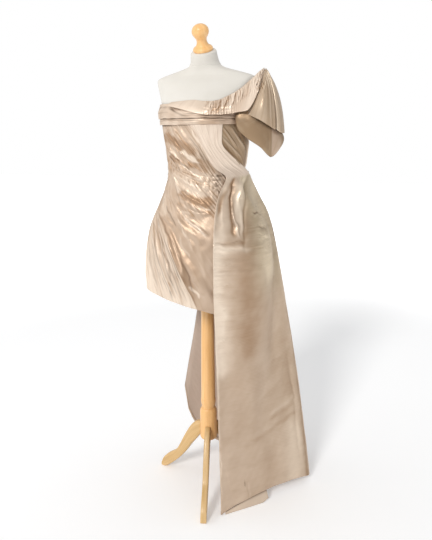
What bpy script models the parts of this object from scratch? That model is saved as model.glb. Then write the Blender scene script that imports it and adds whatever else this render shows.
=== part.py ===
"""One-shouldered satin cocktail dress with a floor-length side train, worn by a limbless dress form on
a turned wooden tripod stand. Metres, +Z up, the floor at height 0. The form faces -Y and its left side
is +X. Sections and tables are measured from the pole's axis, and bearings are in degrees round it from
the front (-Y) towards the wearer's left (+X); the finished pieces move together to POLE_PLACE."""
import bpy
import numpy as np
from math import cos, pi, radians, sin

# Cloth
CLOTH = 0.0015           # wall of every cut piece
SEAM = 0.0004            # space between two pieces along a seam

# Stand
POLE_PLACE = (-0.0710, -0.0607)  # the pole's axis, which is off the middle of the footprint
POLE_TOP = 0.8847
POLE_RADIUS_TOP = 0.0240
POLE_RADIUS_FOOT = 0.0290
BOSS_RADIUS = 0.0335
BOSS_TOP = 0.345
BOSS_BOTTOM = 0.211
LEG_REACH = 0.246
LEG_THICKNESS = 0.028
LEG_BEARINGS = (15.7, 135.7, -104.3)
JOINT_GAP = 0.0003

# Dress form
NECK_LEAN = 24.0         # degrees that the neck plate tips forward
NECK_TOP = (0.0, -0.014, 1.6655)

# Fitted dress
FRONT_TOP = 1.486        # top of the draped front, under the upper band
BACK_TOP = 1.480         # top of the back panels, under the back of the bertha
SIDE_SEAM = 89.0         # bearing of the side seams
SEAM_BEARING = 0.15      # half of the space between two pieces at an upright seam, in degrees
SIDE_PANEL_TOP = 1.500
SIDE_PANEL_FOOT = 1.275
SIDE_PANEL_WIDTH = 55.0  # degrees round the ribs that the plain side panel takes from the draped front
SIDE_PANEL_GAP = 1.4     # degrees between the draped front and the slanting edge of the side panel

# Side drape: how far it rises off the fitted dress under the bands and along its foot
DRAPE_RISE_TOP = 0.0022
DRAPE_RISE_RIGHT = 0.006
DRAPE_RISE_LEFT = 0.013

# Train: places round it run from 0 at the front edge through 0.5 at the side corner to 1 at the tail
TRAIN_CLEAR = 0.0125                   # how far it lies outside the fitted dress
TRAIN_BENDS = (0.42, 0.58, 0.68, 0.88)  # where its two rounded corners begin and end
TRAIN_JOIN = (0.4987, 0.5013)          # edges of its two widths along the side seam
BACK_CORNER_CUT = 0.30   # share of the back that is taken off at the rounded back corner
HEM_LIFT = 0.026         # how far the middle of the front hem stands off the floor
TAIL_STEEPNESS = 7       # how suddenly the hem rises to the tail; 1 is a straight slant
HEM_TURN = (0.02, 0.22)  # stretch of the front hem that is turned under
HEM_OUT = (0.0109, -0.0088)  # how far the turned-under hem spreads on the floor, in x and y

# Gathers and pleats
BERTHA_GATHERS = 12
BERTHA_GATHER_RISE = 0.0016
BERTHA_CENTRE = (0.0, 0.0, 1.44)   # the gathers rise away from here
FLAP_PLEATS = 9
FLAP_PLEAT_RISE = 0.0025
SLEEVE_CENTRE = (0.19, 0.0, 1.47)  # the pleats rise away from here

# Outer face of the fitted dress: height, half width, front depth, back depth
DRESS_SECTIONS = (
    (0.000, 0.180, 0.120, 0.130),
    (0.280, 0.205, 0.140, 0.150),
    (0.550, 0.222, 0.166, 0.165),
    (0.780, 0.233, 0.188, 0.170),
    (0.905, 0.232, 0.188, 0.168),
    (0.981, 0.228, 0.182, 0.160),
    (1.040, 0.219, 0.172, 0.150),
    (1.100, 0.199, 0.156, 0.135),
    (1.157, 0.172, 0.137, 0.118),
    (1.210, 0.150, 0.122, 0.105),
    (1.265, 0.137, 0.110, 0.095),
    (1.330, 0.142, 0.116, 0.098),
    (1.410, 0.153, 0.126, 0.104),
    (1.450, 0.157, 0.124, 0.102),
    (1.500, 0.163, 0.112, 0.095),
    (1.530, 0.172, 0.100, 0.088),
    (1.560, 0.184, 0.087, 0.080),
    (1.600, 0.200, 0.070, 0.065),
)

# Dress form: height, centre y, half width, front depth, back depth, forward lean of the ring in degrees
FORM_SECTIONS = (
    (0.885, 0.000, 0.120, 0.088, 0.088, 0.0),
    (0.888, 0.000, 0.150, 0.106, 0.106, 0.0),
    (0.930, 0.000, 0.170, 0.122, 0.120, 0.0),
    (1.000, 0.000, 0.174, 0.126, 0.122, 0.0),
    (1.080, 0.000, 0.164, 0.122, 0.112, 0.0),
    (1.160, 0.000, 0.148, 0.116, 0.100, 0.0),
    (1.265, 0.000, 0.1338, 0.1062, 0.0927, 0.0),
    (1.300, 0.000, 0.1350, 0.1075, 0.0928, 0.0),
    (1.340, 0.000, 0.138, 0.112, 0.094, 0.0),
    (1.410, 0.000, 0.1485, 0.1205, 0.100, 0.0),
    (1.460, 0.000, 0.1535, 0.117, 0.097, 0.0),
    (1.500, 0.000, 0.1585, 0.1085, 0.092, 0.0),
    (1.535, 0.001, 0.169, 0.086, 0.083, 0.0),
    (1.562, 0.002, 0.177, 0.068, 0.068, 0.0),
    (1.578, 0.004, 0.177, 0.055, 0.056, 0.0),
    (1.588, 0.006, 0.158, 0.050, 0.052, 0.0),
    (1.600, 0.007, 0.116, 0.048, 0.050, 0.0),
    (1.610, 0.006, 0.080, 0.048, 0.050, 2.0),
    (1.618, 0.004, 0.060, 0.048, 0.050, 5.0),
    (1.630, 0.000, 0.050, 0.046, 0.048, 10.0),
    (1.648, -0.007, 0.046, 0.043, 0.044, 18.0),
    (1.661, -0.012, 0.044, 0.041, 0.042, 24.0),
    (1.6655, -0.014, 0.039, 0.036, 0.037, 24.0),
)

# Turned knob above the neck plate, along its own axis: height, radius
KNOB_PROFILE = (
    (0.0000, 0.0325), (0.0080, 0.0335), (0.0130, 0.0300), (0.0190, 0.0215), (0.0300, 0.0172),
    (0.0400, 0.0185), (0.0480, 0.0240), (0.0560, 0.0278), (0.0640, 0.0285), (0.0720, 0.0262),
    (0.0790, 0.0205), (0.0840, 0.0120), (0.0860, 0.0000),
)

# Turned pole and boss: height, radius
POLE_PROFILE = (
    (BOSS_TOP + JOINT_GAP, 0.0262), (0.352, 0.0262), (0.360, 0.0276), (0.372, 0.0292), (0.383, 0.0290),
    (0.396, 0.0280), (0.515, 0.0266), (0.700, 0.0245), (POLE_TOP, POLE_RADIUS_TOP),
)
BOSS_PROFILE = (
    (BOSS_BOTTOM, 0.0), (BOSS_BOTTOM, 0.0255), (0.214, 0.0305), (0.222, BOSS_RADIUS), (0.326, BOSS_RADIUS),
    (0.337, 0.0320), (BOSS_TOP, 0.0280), (BOSS_TOP, 0.0),
)

# Cabriole leg seen from its side: reach from the pole's axis, height
LEG_TOP_EDGE = (
    (0.0341, 0.276), (0.060, 0.267), (0.083, 0.243), (0.103, 0.212), (0.122, 0.178), (0.142, 0.138),
    (0.161, 0.107), (0.184, 0.088), (0.210, 0.068), (0.232, 0.044), (0.243, 0.022), (LEG_REACH, 0.006),
)
LEG_UNDER_EDGE = (
    (0.0341, 0.222), (0.060, 0.186), (0.082, 0.158), (0.105, 0.124), (0.130, 0.091), (0.157, 0.060),
    (0.184, 0.034), (0.207, 0.014), (0.222, 0.003), (0.227, 0.0), (0.243, 0.0),
)

# Pressed tucks across the bust: name, start and end bearing, bottom and top height, rise
BANDS = (
    ("band_lower", -95.0, 55.0, 1.4265, 1.4560, 0.0080),
    ("band_upper", -93.0, 50.0, 1.4470, 1.4940, 0.0115),
)

# Height of the skirt's hem: bearing, height
HEM_HEIGHTS = (
    (-180.0, 0.800), (-120.0, 0.812), (-80.0, 0.836), (-40.0, 0.841), (-14.0, 0.828), (10.0, 0.810),
    (25.0, 0.795), (60.0, 0.786), (120.0, 0.786), (180.0, 0.800),
)

# Folds of the draped front: start bearing, start height, end bearing, end height, sideways bend,
# rise, half width
FRONT_FOLDS = (
    (-66.0, 1.400, -8.0, 1.245, -0.006, 0.0060, 0.019),
    (-34.0, 1.420, 4.0, 1.300, -0.004, 0.0055, 0.018),
    (-82.0, 1.360, -22.0, 1.215, -0.008, 0.0060, 0.019),
    (-84.0, 1.290, 22.0, 1.205, -0.012, 0.0070, 0.020),
    (-72.0, 1.230, 16.0, 1.110, -0.014, 0.0080, 0.022),
    (-60.0, 1.180, 18.0, 1.030, -0.018, 0.0060, 0.022),
    (-66.0, 1.190, 6.0, 0.830, -0.040, 0.0110, 0.026),
    (-74.0, 1.150, -14.0, 0.840, -0.030, 0.0090, 0.022),
    (-82.0, 1.120, -34.0, 0.840, -0.026, 0.0080, 0.022),
    (-86.0, 1.060, -56.0, 0.840, -0.020, 0.0080, 0.022),
    (-18.0, 1.030, 22.0, 0.830, -0.012, 0.0060, 0.022),
)

# Side drape over the bodice: left bearing, left height, right bearing, right height
SIDE_DRAPE_ROWS = (
    (-23.0, 1.436, 36.0, 1.434),
    (-11.0, 1.400, 36.0, 1.385),
    (0.0, 1.364, 44.0, 1.350),
    (11.0, 1.328, 62.0, 1.328),
    (24.0, 1.296, 80.0, 1.310),
    (36.0, 1.277, 96.0, 1.298),
)

# Front edge and side corner of the train: front x, front y, front height, corner x, corner y,
# corner height, cut of the corner
TRAIN_FRONT_ROWS = (
    (0.0905, -0.1120, 1.2740, 0.158, 0.030, 1.295, 0.030),
    (0.0880, -0.1380, 1.1830, 0.183, 0.068, 1.200, 0.034),
    (0.0895, -0.1620, 1.1060, 0.225, 0.083, 1.100, 0.038),
    (0.0925, -0.1820, 0.9920, 0.253, 0.094, 0.980, 0.042),
    (0.0970, -0.1930, 0.8560, 0.285, 0.105, 0.800, 0.044),
    (0.1010, -0.1900, 0.7130, 0.318, 0.118, 0.600, 0.044),
    (0.1070, -0.1850, 0.4850, 0.347, 0.129, 0.400, 0.042),
    (0.1100, -0.1790, 0.2850, 0.370, 0.138, 0.220, 0.040),
    (0.1160, -0.1765, 0.0060, 0.392, 0.147, 0.032, 0.036),
)

# Back and free tail edge of the train: back x, back y, back height, tail x, tail y, tail height
TRAIN_BACK_ROWS = (
    (0.105, 0.085, 1.290, -0.038, 0.109, 1.285),
    (0.125, 0.125, 1.190, -0.052, 0.130, 1.180),
    (0.145, 0.160, 1.090, -0.070, 0.158, 1.080),
    (0.162, 0.190, 0.970, -0.090, 0.186, 0.970),
    (0.185, 0.225, 0.800, -0.113, 0.216, 0.840),
    (0.212, 0.268, 0.610, -0.135, 0.240, 0.700),
    (0.240, 0.312, 0.410, -0.158, 0.242, 0.560),
    (0.265, 0.355, 0.210, -0.181, 0.234, 0.425),
    (0.290, 0.395, 0.002, -0.200, 0.225, 0.303),
)

# Tube folds that fall from the gather at the train's waist: place across the front width, half width, rise
TUBE_FOLDS = (
    (0.13, 0.10, 0.012),
    (0.42, 0.10, 0.014),
)

# Bertha along the neckline, front and back of the shoulder: upper edge and lower edge, each x, y, height
BERTHA_ROWS = (
    (-0.084, -0.097, 1.4985, -0.089, -0.112, 1.487),
    (-0.045, -0.1062, 1.501, -0.047, -0.127, 1.478),
    (0.000, -0.1090, 1.503, 0.000, -0.137, 1.466),
    (0.039, -0.1075, 1.499, 0.042, -0.136, 1.458),
    (0.077, -0.099, 1.500, 0.081, -0.127, 1.456),
    (0.112, -0.079, 1.516, 0.122, -0.114, 1.459),
    (0.144, -0.056, 1.538, 0.158, -0.103, 1.465),
    (0.174, -0.032, 1.568, 0.186, -0.102, 1.472),
    (0.196, -0.016, 1.592, 0.204, -0.078, 1.512),
    (0.209, -0.0012, 1.605, 0.206, -0.050, 1.552),
)
BERTHA_BACK_ROWS = (
    (0.209, 0.0012, 1.605, 0.206, 0.036, 1.552),
    (0.196, 0.022, 1.586, 0.196, 0.064, 1.512),
    (0.166, 0.036, 1.548, 0.166, 0.074, 1.474),
    (0.121, 0.067, 1.516, 0.122, 0.088, 1.456),
    (0.069, 0.089, 1.500, 0.070, 0.106, 1.450),
    (0.014, 0.098, 1.492, 0.014, 0.113, 1.450),
    (-0.042, 0.096, 1.489, -0.042, 0.109, 1.450),
    (-0.093, 0.082, 1.488, -0.094, 0.092, 1.455),
)

# Sleeve flap from its gathered top to its free edge: top, middle and edge, each x, y, height
FLAP_ROWS = (
    (0.2112, -0.042, 1.546, 0.196, -0.070, 1.500, 0.166, -0.080, 1.462),
    (0.2117, -0.036, 1.560, 0.217, -0.078, 1.508, 0.196, -0.090, 1.450),
    (0.2131, -0.027, 1.578, 0.240, -0.080, 1.512, 0.230, -0.090, 1.435),
    (0.2141, -0.014, 1.592, 0.259, -0.056, 1.517, 0.262, -0.061, 1.414),
    (0.2147, 0.000, 1.603, 0.268, -0.012, 1.521, 0.283, -0.010, 1.398),
    (0.2141, 0.014, 1.592, 0.260, 0.040, 1.517, 0.272, 0.044, 1.402),
    (0.2136, 0.026, 1.578, 0.236, 0.074, 1.508, 0.236, 0.082, 1.422),
    (0.2106, 0.036, 1.556, 0.196, 0.084, 1.496, 0.184, 0.092, 1.446),
)

# Lower sleeve, a tube round the arm: top, middle and opening, each x, y, height, anticlockwise from above
SLEEVE_ROWS = (
    (0.157, -0.060, 1.468, 0.159, -0.064, 1.440, 0.158, -0.060, 1.410),
    (0.184, -0.070, 1.470, 0.190, -0.078, 1.430, 0.182, -0.076, 1.376),
    (0.208, -0.064, 1.472, 0.220, -0.074, 1.415, 0.217, -0.074, 1.350),
    (0.232, -0.044, 1.474, 0.250, -0.052, 1.405, 0.256, -0.046, 1.325),
    (0.244, -0.010, 1.474, 0.266, -0.014, 1.405, 0.275, -0.012, 1.345),
    (0.240, 0.024, 1.474, 0.262, 0.028, 1.415, 0.271, 0.030, 1.384),
    (0.218, 0.054, 1.472, 0.232, 0.062, 1.428, 0.236, 0.066, 1.398),
    (0.186, 0.066, 1.470, 0.192, 0.074, 1.436, 0.194, 0.078, 1.408),
    (0.164, 0.050, 1.468, 0.166, 0.056, 1.440, 0.165, 0.056, 1.416),
    (0.1594, 0.000, 1.465, 0.163, 0.000, 1.444, 0.163, 0.000, 1.420),
)


def smooth_rows(rows, place):
    """Rows of a table at places from 0 (first row) to 1 (last row), on a cubic curve through all of them."""
    rows = np.asarray(rows, float)
    last = len(rows) - 1
    ends = np.vstack([2 * rows[0] - rows[1], rows, 2 * rows[-1] - rows[-2]])
    step = np.clip(np.asarray(place, float), 0.0, 1.0) * last
    index = np.minimum(step.astype(int), last - 1)
    part = (step - index)[..., None]
    before, start, end, after = (ends[index + k] for k in range(4))
    slope_start = (end - before) / 2
    slope_end = (after - start) / 2
    return ((2 * part ** 3 - 3 * part ** 2 + 1) * start + (part ** 3 - 2 * part ** 2 + part) * slope_start
            + (3 * part ** 2 - 2 * part ** 3) * end + (part ** 3 - part ** 2) * slope_end)


def smooth_ring(rows, place):
    """Rows of a table that closes on itself, at places from 0 to 1 round it."""
    rows = np.asarray(rows, float)
    count = len(rows)
    wrapped = np.vstack([rows[-2:], rows, rows[:3]])
    return smooth_rows(wrapped, (np.asarray(place) % 1.0 * count + 2) / (count + 4))


def ease(value):
    """0 below 0, 1 above 1, and a smooth S between."""
    value = np.clip(value, 0.0, 1.0)
    return value * value * (3 - 2 * value)


def dress_section(height):
    """Half width, front depth and back depth of the fitted dress at a height."""
    table = np.array(DRESS_SECTIONS)
    return tuple(np.interp(height, table[:, 0], table[:, column]) for column in (1, 2, 3))


def on_dress(bearing, height, rise=0.0):
    """Points on the fitted dress at a bearing and height, moved out by rise."""
    bearing, height, rise = np.broadcast_arrays(np.radians(bearing), height, rise)
    width, front, back = dress_section(height)
    depth = np.where(np.cos(bearing) > 0, front, back)
    x, y = width * np.sin(bearing), -depth * np.cos(bearing)
    out_x, out_y = np.sin(bearing) / width, -np.cos(bearing) / depth
    length = np.hypot(out_x, out_y)
    return np.stack([x + rise * out_x / length, y + rise * out_y / length, height], axis=-1)


def outside_dress(points, rise):
    """Points moved out from the pole's axis where they would lie within rise of the fitted dress."""
    width, front, back = dress_section(points[..., 2])
    depth = np.where(points[..., 1] < 0, front, back)
    share = np.hypot(points[..., 0] / (width + rise), points[..., 1] / (depth + rise))
    wanted = (share + 1 + np.sqrt((share - 1) ** 2 + 0.004)) / 2
    scale = np.where(share > 1.25, 1.0, wanted / share)
    moved = points.copy()
    moved[..., 0] *= scale
    moved[..., 1] *= scale
    return moved


def folds(bearing, height, table):
    """Sum of soft ridges over the draped front, each a bent line with a rounded section."""
    metres_per_degree = 0.0031
    across, up = bearing * metres_per_degree, height
    rise = np.zeros(np.broadcast(bearing, height).shape)
    for start_bearing, start_height, end_bearing, end_height, bend, peak, half_width in table:
        start = np.array([start_bearing * metres_per_degree, start_height])
        run = np.array([end_bearing * metres_per_degree, end_height]) - start
        length = np.hypot(*run)
        along = ((across - start[0]) * run[0] + (up - start[1]) * run[1]) / length ** 2
        aside = ((across - start[0]) * run[1] - (up - start[1]) * run[0]) / length
        aside = aside - 4 * bend * along * (1 - along)
        bump = 0.5 + 0.5 * np.cos(pi * np.clip(aside / half_width, -1, 1))
        fade = ease(along / 0.22) * ease((1 - along) / 0.22)
        rise = np.maximum(rise, peak * bump * fade)
    return rise


def hem_height(bearing):
    """Height of the skirt's hem at a bearing."""
    table = np.array(HEM_HEIGHTS)
    return np.interp(bearing, table[:, 0], table[:, 1])


def front_edge_bearing(height):
    """Bearing of the draped front's left edge: the side seam below, the side panel's seam above."""
    return SIDE_SEAM - 2 * SEAM_BEARING - SIDE_PANEL_WIDTH * ease((height - 1.225) / 0.135)


def path_round_corners(points, cuts, breaks, place):
    """A path through four points with its two inner corners rounded by quadratic curves.
    cuts are the lengths taken off each corner, breaks the places where its five stretches meet."""
    front, corner, back, tail = points
    first = corner - cuts[0] * (corner - front) / np.linalg.norm(corner - front, axis=-1, keepdims=True)
    second = corner + cuts[0] * (back - corner) / np.linalg.norm(back - corner, axis=-1, keepdims=True)
    third = back - cuts[1] * (back - corner) / np.linalg.norm(back - corner, axis=-1, keepdims=True)
    fourth = back + cuts[1] * (tail - back) / np.linalg.norm(tail - back, axis=-1, keepdims=True)

    def bend(a, b, c, part):
        return (1 - part) ** 2 * a + 2 * part * (1 - part) * b + part ** 2 * c

    def run(a, b, part):
        return a + (b - a) * part

    part = [np.clip((place - low) / (high - low), 0, 1)[..., None]
            for low, high in zip((0.0,) + breaks, breaks + (1.0,))]
    stretch = np.digitize(place, breaks)[..., None]
    return np.select([stretch == k for k in range(5)],
                     [run(front, first, part[0]), bend(first, corner, second, part[1]),
                      run(second, third, part[2]), bend(third, back, fourth, part[3]),
                      run(fourth, tail, part[4])])


def train_surface(around, down):
    """Train at around (0 front edge, 0.5 side corner, 1 tail edge) and down (0 waist, 1 hem)."""
    front = smooth_rows(TRAIN_FRONT_ROWS, down)
    back = smooth_rows(TRAIN_BACK_ROWS, down)
    back_cut = BACK_CORNER_CUT * np.linalg.norm(back[..., 3:5] - back[..., 0:2], axis=-1, keepdims=True)
    guides = (front[..., 0:3], front[..., 3:6], back[..., 0:3], back[..., 3:6])
    points = path_round_corners(guides, (front[..., 6:7], back_cut), TRAIN_BENDS, around)
    # the hem lies on the floor behind and rises steeply to the tail; in front it lifts a little in the middle
    near_hem = ease((down - 0.6) / 0.4)
    low, high = back[..., 2], back[..., 5]
    to_tail = np.clip((points[..., 2] - low) / (high - low), 0, 1)
    steep = low + (high - low) * to_tail ** TAIL_STEEPNESS
    lift = HEM_LIFT * np.sin(pi * np.clip(around / 0.5, 0, 1) ** 0.8)
    points[..., 2] = np.where(around > TRAIN_BENDS[2], points[..., 2] + (steep - points[..., 2]) * near_hem,
                              points[..., 2] + lift * near_hem)
    # the tube folds die out over the hip
    share = around / 0.5
    fade = ease(down / 0.06) * (1 - ease((down - 0.14) / 0.14))
    tube = sum(rise * np.exp(-((share - place) / width) ** 2) for place, width, rise in TUBE_FOLDS)
    return outside_dress(points, TRAIN_CLEAR + tube * fade)


def new_material(name, colour, roughness):
    """Principled material of one plain colour."""
    material = bpy.data.materials.new(name)
    material.use_nodes = True
    shader = material.node_tree.nodes["Principled BSDF"]
    shader.inputs["Base Color"].default_value = (*colour, 1.0)
    shader.inputs["Roughness"].default_value = roughness
    shader.inputs["Metallic"].default_value = 0.0
    material.diffuse_color = (*colour, 1.0)
    return material


def satin(name, shade=1.0):
    """Champagne silk satin, a little lighter or darker from piece to piece."""
    return new_material(name, (0.60 * shade, 0.45 * shade, 0.34 * shade), 0.32)


def beech(name):
    """Honey-coloured beech under clear varnish."""
    return new_material(name, (0.70, 0.40, 0.15), 0.38)


def add_object(name, vertices, faces, material):
    """New smooth-shaded mesh object in the collection of pieces."""
    mesh = bpy.data.meshes.new(name)
    mesh.from_pydata([tuple(map(float, v)) for v in vertices], [], faces)
    mesh.materials.append(material)
    mesh.shade_smooth()
    piece = bpy.data.objects.new(name, mesh)
    parts.objects.link(piece)
    return piece


def add_cloth(name, points, material, ring=False):
    """A cloth wall: the points are its outer face, rows down and columns to the wearer's left,
    and Solidify gives it its thickness inwards."""
    rows, columns = points.shape[:2]
    index = np.arange(rows * columns).reshape(rows, columns)
    if ring:
        index = np.hstack([index, index[:, :1]])
    corners = (index[:-1, :-1], index[1:, :-1], index[1:, 1:], index[:-1, 1:])
    faces = np.stack(corners, axis=-1).reshape(-1, 4).tolist()
    piece = add_object(name, points.reshape(-1, 3), faces, material)
    wall = piece.modifiers.new("wall", "SOLIDIFY")
    wall.thickness = CLOTH
    wall.offset = -1.0
    return piece


def add_turned(name, profile, material, segments=20):
    """A turned piece: a profile of heights and radii, from the bottom up, spun round the axis."""
    points = [(radius, 0.0, height) for height, radius in reversed(profile)]
    if profile[-1][1] > 0:
        points.insert(0, (0.0, 0.0, profile[-1][0]))
    if profile[0][1] > 0:
        points.append((0.0, 0.0, profile[0][0]))
    edges = [(k, k + 1) for k in range(len(points) - 1)]
    mesh = bpy.data.meshes.new(name)
    mesh.from_pydata(points, edges, [])
    mesh.materials.append(material)
    piece = bpy.data.objects.new(name, mesh)
    parts.objects.link(piece)
    spin = piece.modifiers.new("spin", "SCREW")
    spin.steps = segments
    spin.render_steps = segments
    spin.use_merge_vertices = True
    spin.merge_threshold = 0.00001
    spin.use_smooth_shade = True
    return piece


def build_form():
    """Cloth-covered torso without limbs, closed at its neck plate and its base."""
    segments = 28
    angle = np.linspace(0, 2 * pi, segments, endpoint=False)
    rings = []
    for height, centre_y, width, front, back, lean in FORM_SECTIONS:
        depth = np.where(np.cos(angle) > 0, front, back)
        x, y = width * np.sin(angle), -depth * np.cos(angle)
        lean = radians(lean)
        rings.append(np.stack([x, centre_y + y * cos(lean), height + y * sin(lean)], axis=-1))
    vertices = np.vstack(rings)
    faces = [tuple(range(segments))[::-1]]
    for row in range(len(rings) - 1):
        for k in range(segments):
            after = (k + 1) % segments
            low, high = row * segments, (row + 1) * segments
            faces.append((low + k, low + after, high + after, high + k))
    faces.append(tuple(range(len(vertices) - segments, len(vertices))))
    add_object("dress_form", vertices, faces, new_material("form_cover", (0.82, 0.79, 0.75), 0.85))


def build_knob():
    """Turned wooden knob on the neck plate, leaning forward with it."""
    lean = radians(NECK_LEAN)
    knob = add_turned("neck_knob", KNOB_PROFILE, beech("knob_beech"))
    knob.rotation_euler = (lean, 0.0, 0.0)
    knob.location = (0.0, NECK_TOP[1] - JOINT_GAP * sin(lean), NECK_TOP[2] + JOINT_GAP * cos(lean))


def build_stand():
    """Turned pole and boss with three cabriole legs."""
    add_turned("pole", POLE_PROFILE, beech("pole_beech"))
    add_turned("boss", BOSS_PROFILE, beech("boss_beech"), segments=24)
    outline = list(LEG_TOP_EDGE) + list(reversed(LEG_UNDER_EDGE))
    for number, bearing in enumerate(LEG_BEARINGS, start=1):
        name = f"leg_{number}"
        curve = bpy.data.curves.new(name, "CURVE")
        curve.dimensions = "2D"
        curve.fill_mode = "BOTH"
        curve.extrude = LEG_THICKNESS / 2 - 0.003
        curve.bevel_depth = 0.003
        curve.bevel_resolution = 0
        curve.offset = -0.003
        spline = curve.splines.new("POLY")
        spline.points.add(len(outline) - 1)
        for point, (reach, height) in zip(spline.points, outline):
            point.co = (reach, height, 0.0, 1.0)
        spline.use_cyclic_u = True
        leg = bpy.data.objects.new(name, curve)
        curve.materials.append(beech(f"leg_beech_{number}"))
        leg.rotation_euler = (pi / 2, 0.0, radians(bearing - 90.0))
        parts.objects.link(leg)


def build_fitted_pieces():
    """Draped front, plain side panel and the two back panels, seamed together."""
    down = np.linspace(0, 1, 25)[:, None]
    across = np.linspace(0, 1, 37)[None, :]
    lowest = hem_height(-SIDE_SEAM + 2 * SIDE_SEAM * across)
    height = FRONT_TOP + (lowest - FRONT_TOP) * down
    right = -SIDE_SEAM + 2 * SEAM_BEARING
    bearing = right + (front_edge_bearing(height) - right) * across
    rise = folds(bearing, height, FRONT_FOLDS)
    add_cloth("draped_front", on_dress(bearing, height, rise), satin("front_satin"))

    down = np.linspace(0, 1, 9)[:, None]
    across = np.linspace(0, 1, 8)[None, :]
    height = SIDE_PANEL_TOP + (SIDE_PANEL_FOOT - SIDE_PANEL_TOP) * down
    start = front_edge_bearing(height) + SIDE_PANEL_GAP
    bearing = start + (SIDE_SEAM - 2 * SEAM_BEARING - start) * across
    add_cloth("side_panel", on_dress(bearing, height), satin("side_satin", 0.92))

    down = np.linspace(0, 1, 14)[:, None]
    for name, start, end in (("back_left", SIDE_SEAM, 180.0), ("back_right", -180.0, -SIDE_SEAM)):
        across = np.linspace(0, 1, 12)[None, :]
        bearing = start + SEAM_BEARING + (end - start - 2 * SEAM_BEARING) * across
        height = BACK_TOP + (hem_height(bearing) - BACK_TOP) * down
        add_cloth(name, on_dress(bearing, height), satin(f"{name}_satin", 0.95))


def build_side_drape():
    """Swath of satin from under the bands, across the ribs to the left hip, where the train takes it up."""
    down = np.linspace(0, 1, 13)[:, None]
    rows = smooth_rows(SIDE_DRAPE_ROWS, down[:, 0])[:, None, :]
    across = np.linspace(0, 1, 13)[None, :]
    bearing = rows[..., 0] + (rows[..., 2] - rows[..., 0]) * across
    height = rows[..., 1] + (rows[..., 3] - rows[..., 1]) * across
    foot_rise = DRAPE_RISE_RIGHT + (DRAPE_RISE_LEFT - DRAPE_RISE_RIGHT) * across
    points = on_dress(bearing, height, DRAPE_RISE_TOP + foot_rise * down)
    waist = train_surface(TRAIN_JOIN[0] * across, np.zeros_like(across))
    waist[..., 2] += 3 * SEAM
    settle = ease((down - 0.35) / 0.65)[..., None]
    points = points + (waist - points[-1:]) * settle
    add_cloth("side_drape", points, satin("drape_satin", 1.05))


def build_train():
    """Floor-length train in two widths, joined along its side corner, and its hem turned under in front."""
    down = (np.linspace(0, 1, 22) ** 1.15)[:, None]
    for name, start, end in (("train_front", 0.0, TRAIN_JOIN[0]), ("train_back", TRAIN_JOIN[1], 1.0)):
        around = np.linspace(start, end, 16)[None, :]
        around, low = np.broadcast_arrays(around, down)
        add_cloth(name, train_surface(around, low), satin(f"{name}_satin"))
    along = np.linspace(0, 1, 10)
    turned = HEM_TURN[0] + (HEM_TURN[1] - HEM_TURN[0]) * along
    fold = train_surface(turned, np.ones(10)) - np.array([0, 0, 2.6 * SEAM])
    end_lift = 0.012 * ease((along - 0.85) / 0.15)
    floor = np.column_stack([fold[:, :2] + np.array(HEM_OUT) * along[:, None], CLOTH + SEAM + end_lift])
    floor[:, 2] = np.minimum(floor[:, 2], fold[:, 2] - 1.5 * SEAM)
    down = np.linspace(0, 1, 3)[:, None, None]
    add_cloth("turned_hem", fold[None] + (floor - fold)[None] * down, satin("hem_satin", 1.1))


def build_bands():
    """Two pressed tucks across the bust, the upper lying over the lower."""
    for name, start, end, low, high, rise in BANDS:
        bearing = np.linspace(start, end, 32)[None, :]
        part = np.linspace(0, 1, 5)[:, None]
        # the upper band's top dips where the bertha folds over it
        covered = 0.008 * ease((bearing + 36.0) / 14.0) if name == "band_upper" else 0.0
        height = high - covered + (low - high + covered) * part
        lift = SEAM + CLOTH + (rise - SEAM - CLOTH) * ease(part * 1.6)
        add_cloth(name, on_dress(bearing, height, lift), satin(f"{name}_satin"))


def build_bertha():
    """Gathered flap along the neckline, from the right bust over the left shoulder and down the back."""
    for name, table, columns in (("bertha", BERTHA_ROWS, 34), ("bertha_back", BERTHA_BACK_ROWS, 24)):
        across = np.linspace(0, 1, columns)[None, :]
        down = np.linspace(0, 1, 5)[:, None]
        row = smooth_rows(table, across[0])[None]
        points = row[..., 0:3] + (row[..., 3:6] - row[..., 0:3]) * down[..., None]
        outward = points - np.array(BERTHA_CENTRE)
        outward = outward / np.linalg.norm(outward, axis=-1, keepdims=True)
        toward_shoulder = across if name == "bertha" else 1 - across
        ripple = BERTHA_GATHER_RISE * (1 + np.cos(2 * pi * BERTHA_GATHERS * across))
        gathers = ripple * ease((toward_shoulder - 0.3) / 0.2)
        belly = 0.004 * np.sin(pi * down) + gathers * (1 - 0.8 * down) * ease(down * 4)
        points = points + outward * belly[..., None]
        add_cloth(name, points, satin(f"{name}_satin"))


def fan(rows, down):
    """Surface from top through middle to edge, each x, y and height of a row, along a quadratic curve."""
    top, middle, edge = rows[..., 0:3], rows[..., 3:6], rows[..., 6:9]
    control = 2 * middle - (top + edge) / 2
    return (1 - down) ** 2 * top + 2 * down * (1 - down) * control + down ** 2 * edge


def build_sleeve():
    """Pleated flap over the sleeve head, and the lower sleeve that hangs open under it."""
    around = np.linspace(0, 1, 31)
    down = np.linspace(0, 1, 8)[:, None, None]
    points = fan(smooth_rows(FLAP_ROWS, around)[None], down)
    wave = FLAP_PLEAT_RISE * np.cos(2 * pi * FLAP_PLEATS * around)[None, :, None]
    pleat = wave * np.sin(pi * (down * 0.8 + 0.1)) * ease(down * 3)
    outward = points - np.array(SLEEVE_CENTRE)
    outward = outward / np.linalg.norm(outward, axis=-1, keepdims=True)
    add_cloth("sleeve_flap", points + outward * pleat, satin("flap_satin"))

    around = np.linspace(0, 1, 32, endpoint=False)
    down = np.linspace(0, 1, 7)[:, None, None]
    points = fan(smooth_ring(SLEEVE_ROWS, around)[None], down)
    add_cloth("sleeve_lower", points, satin("sleeve_satin", 0.8), ring=True)


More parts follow.
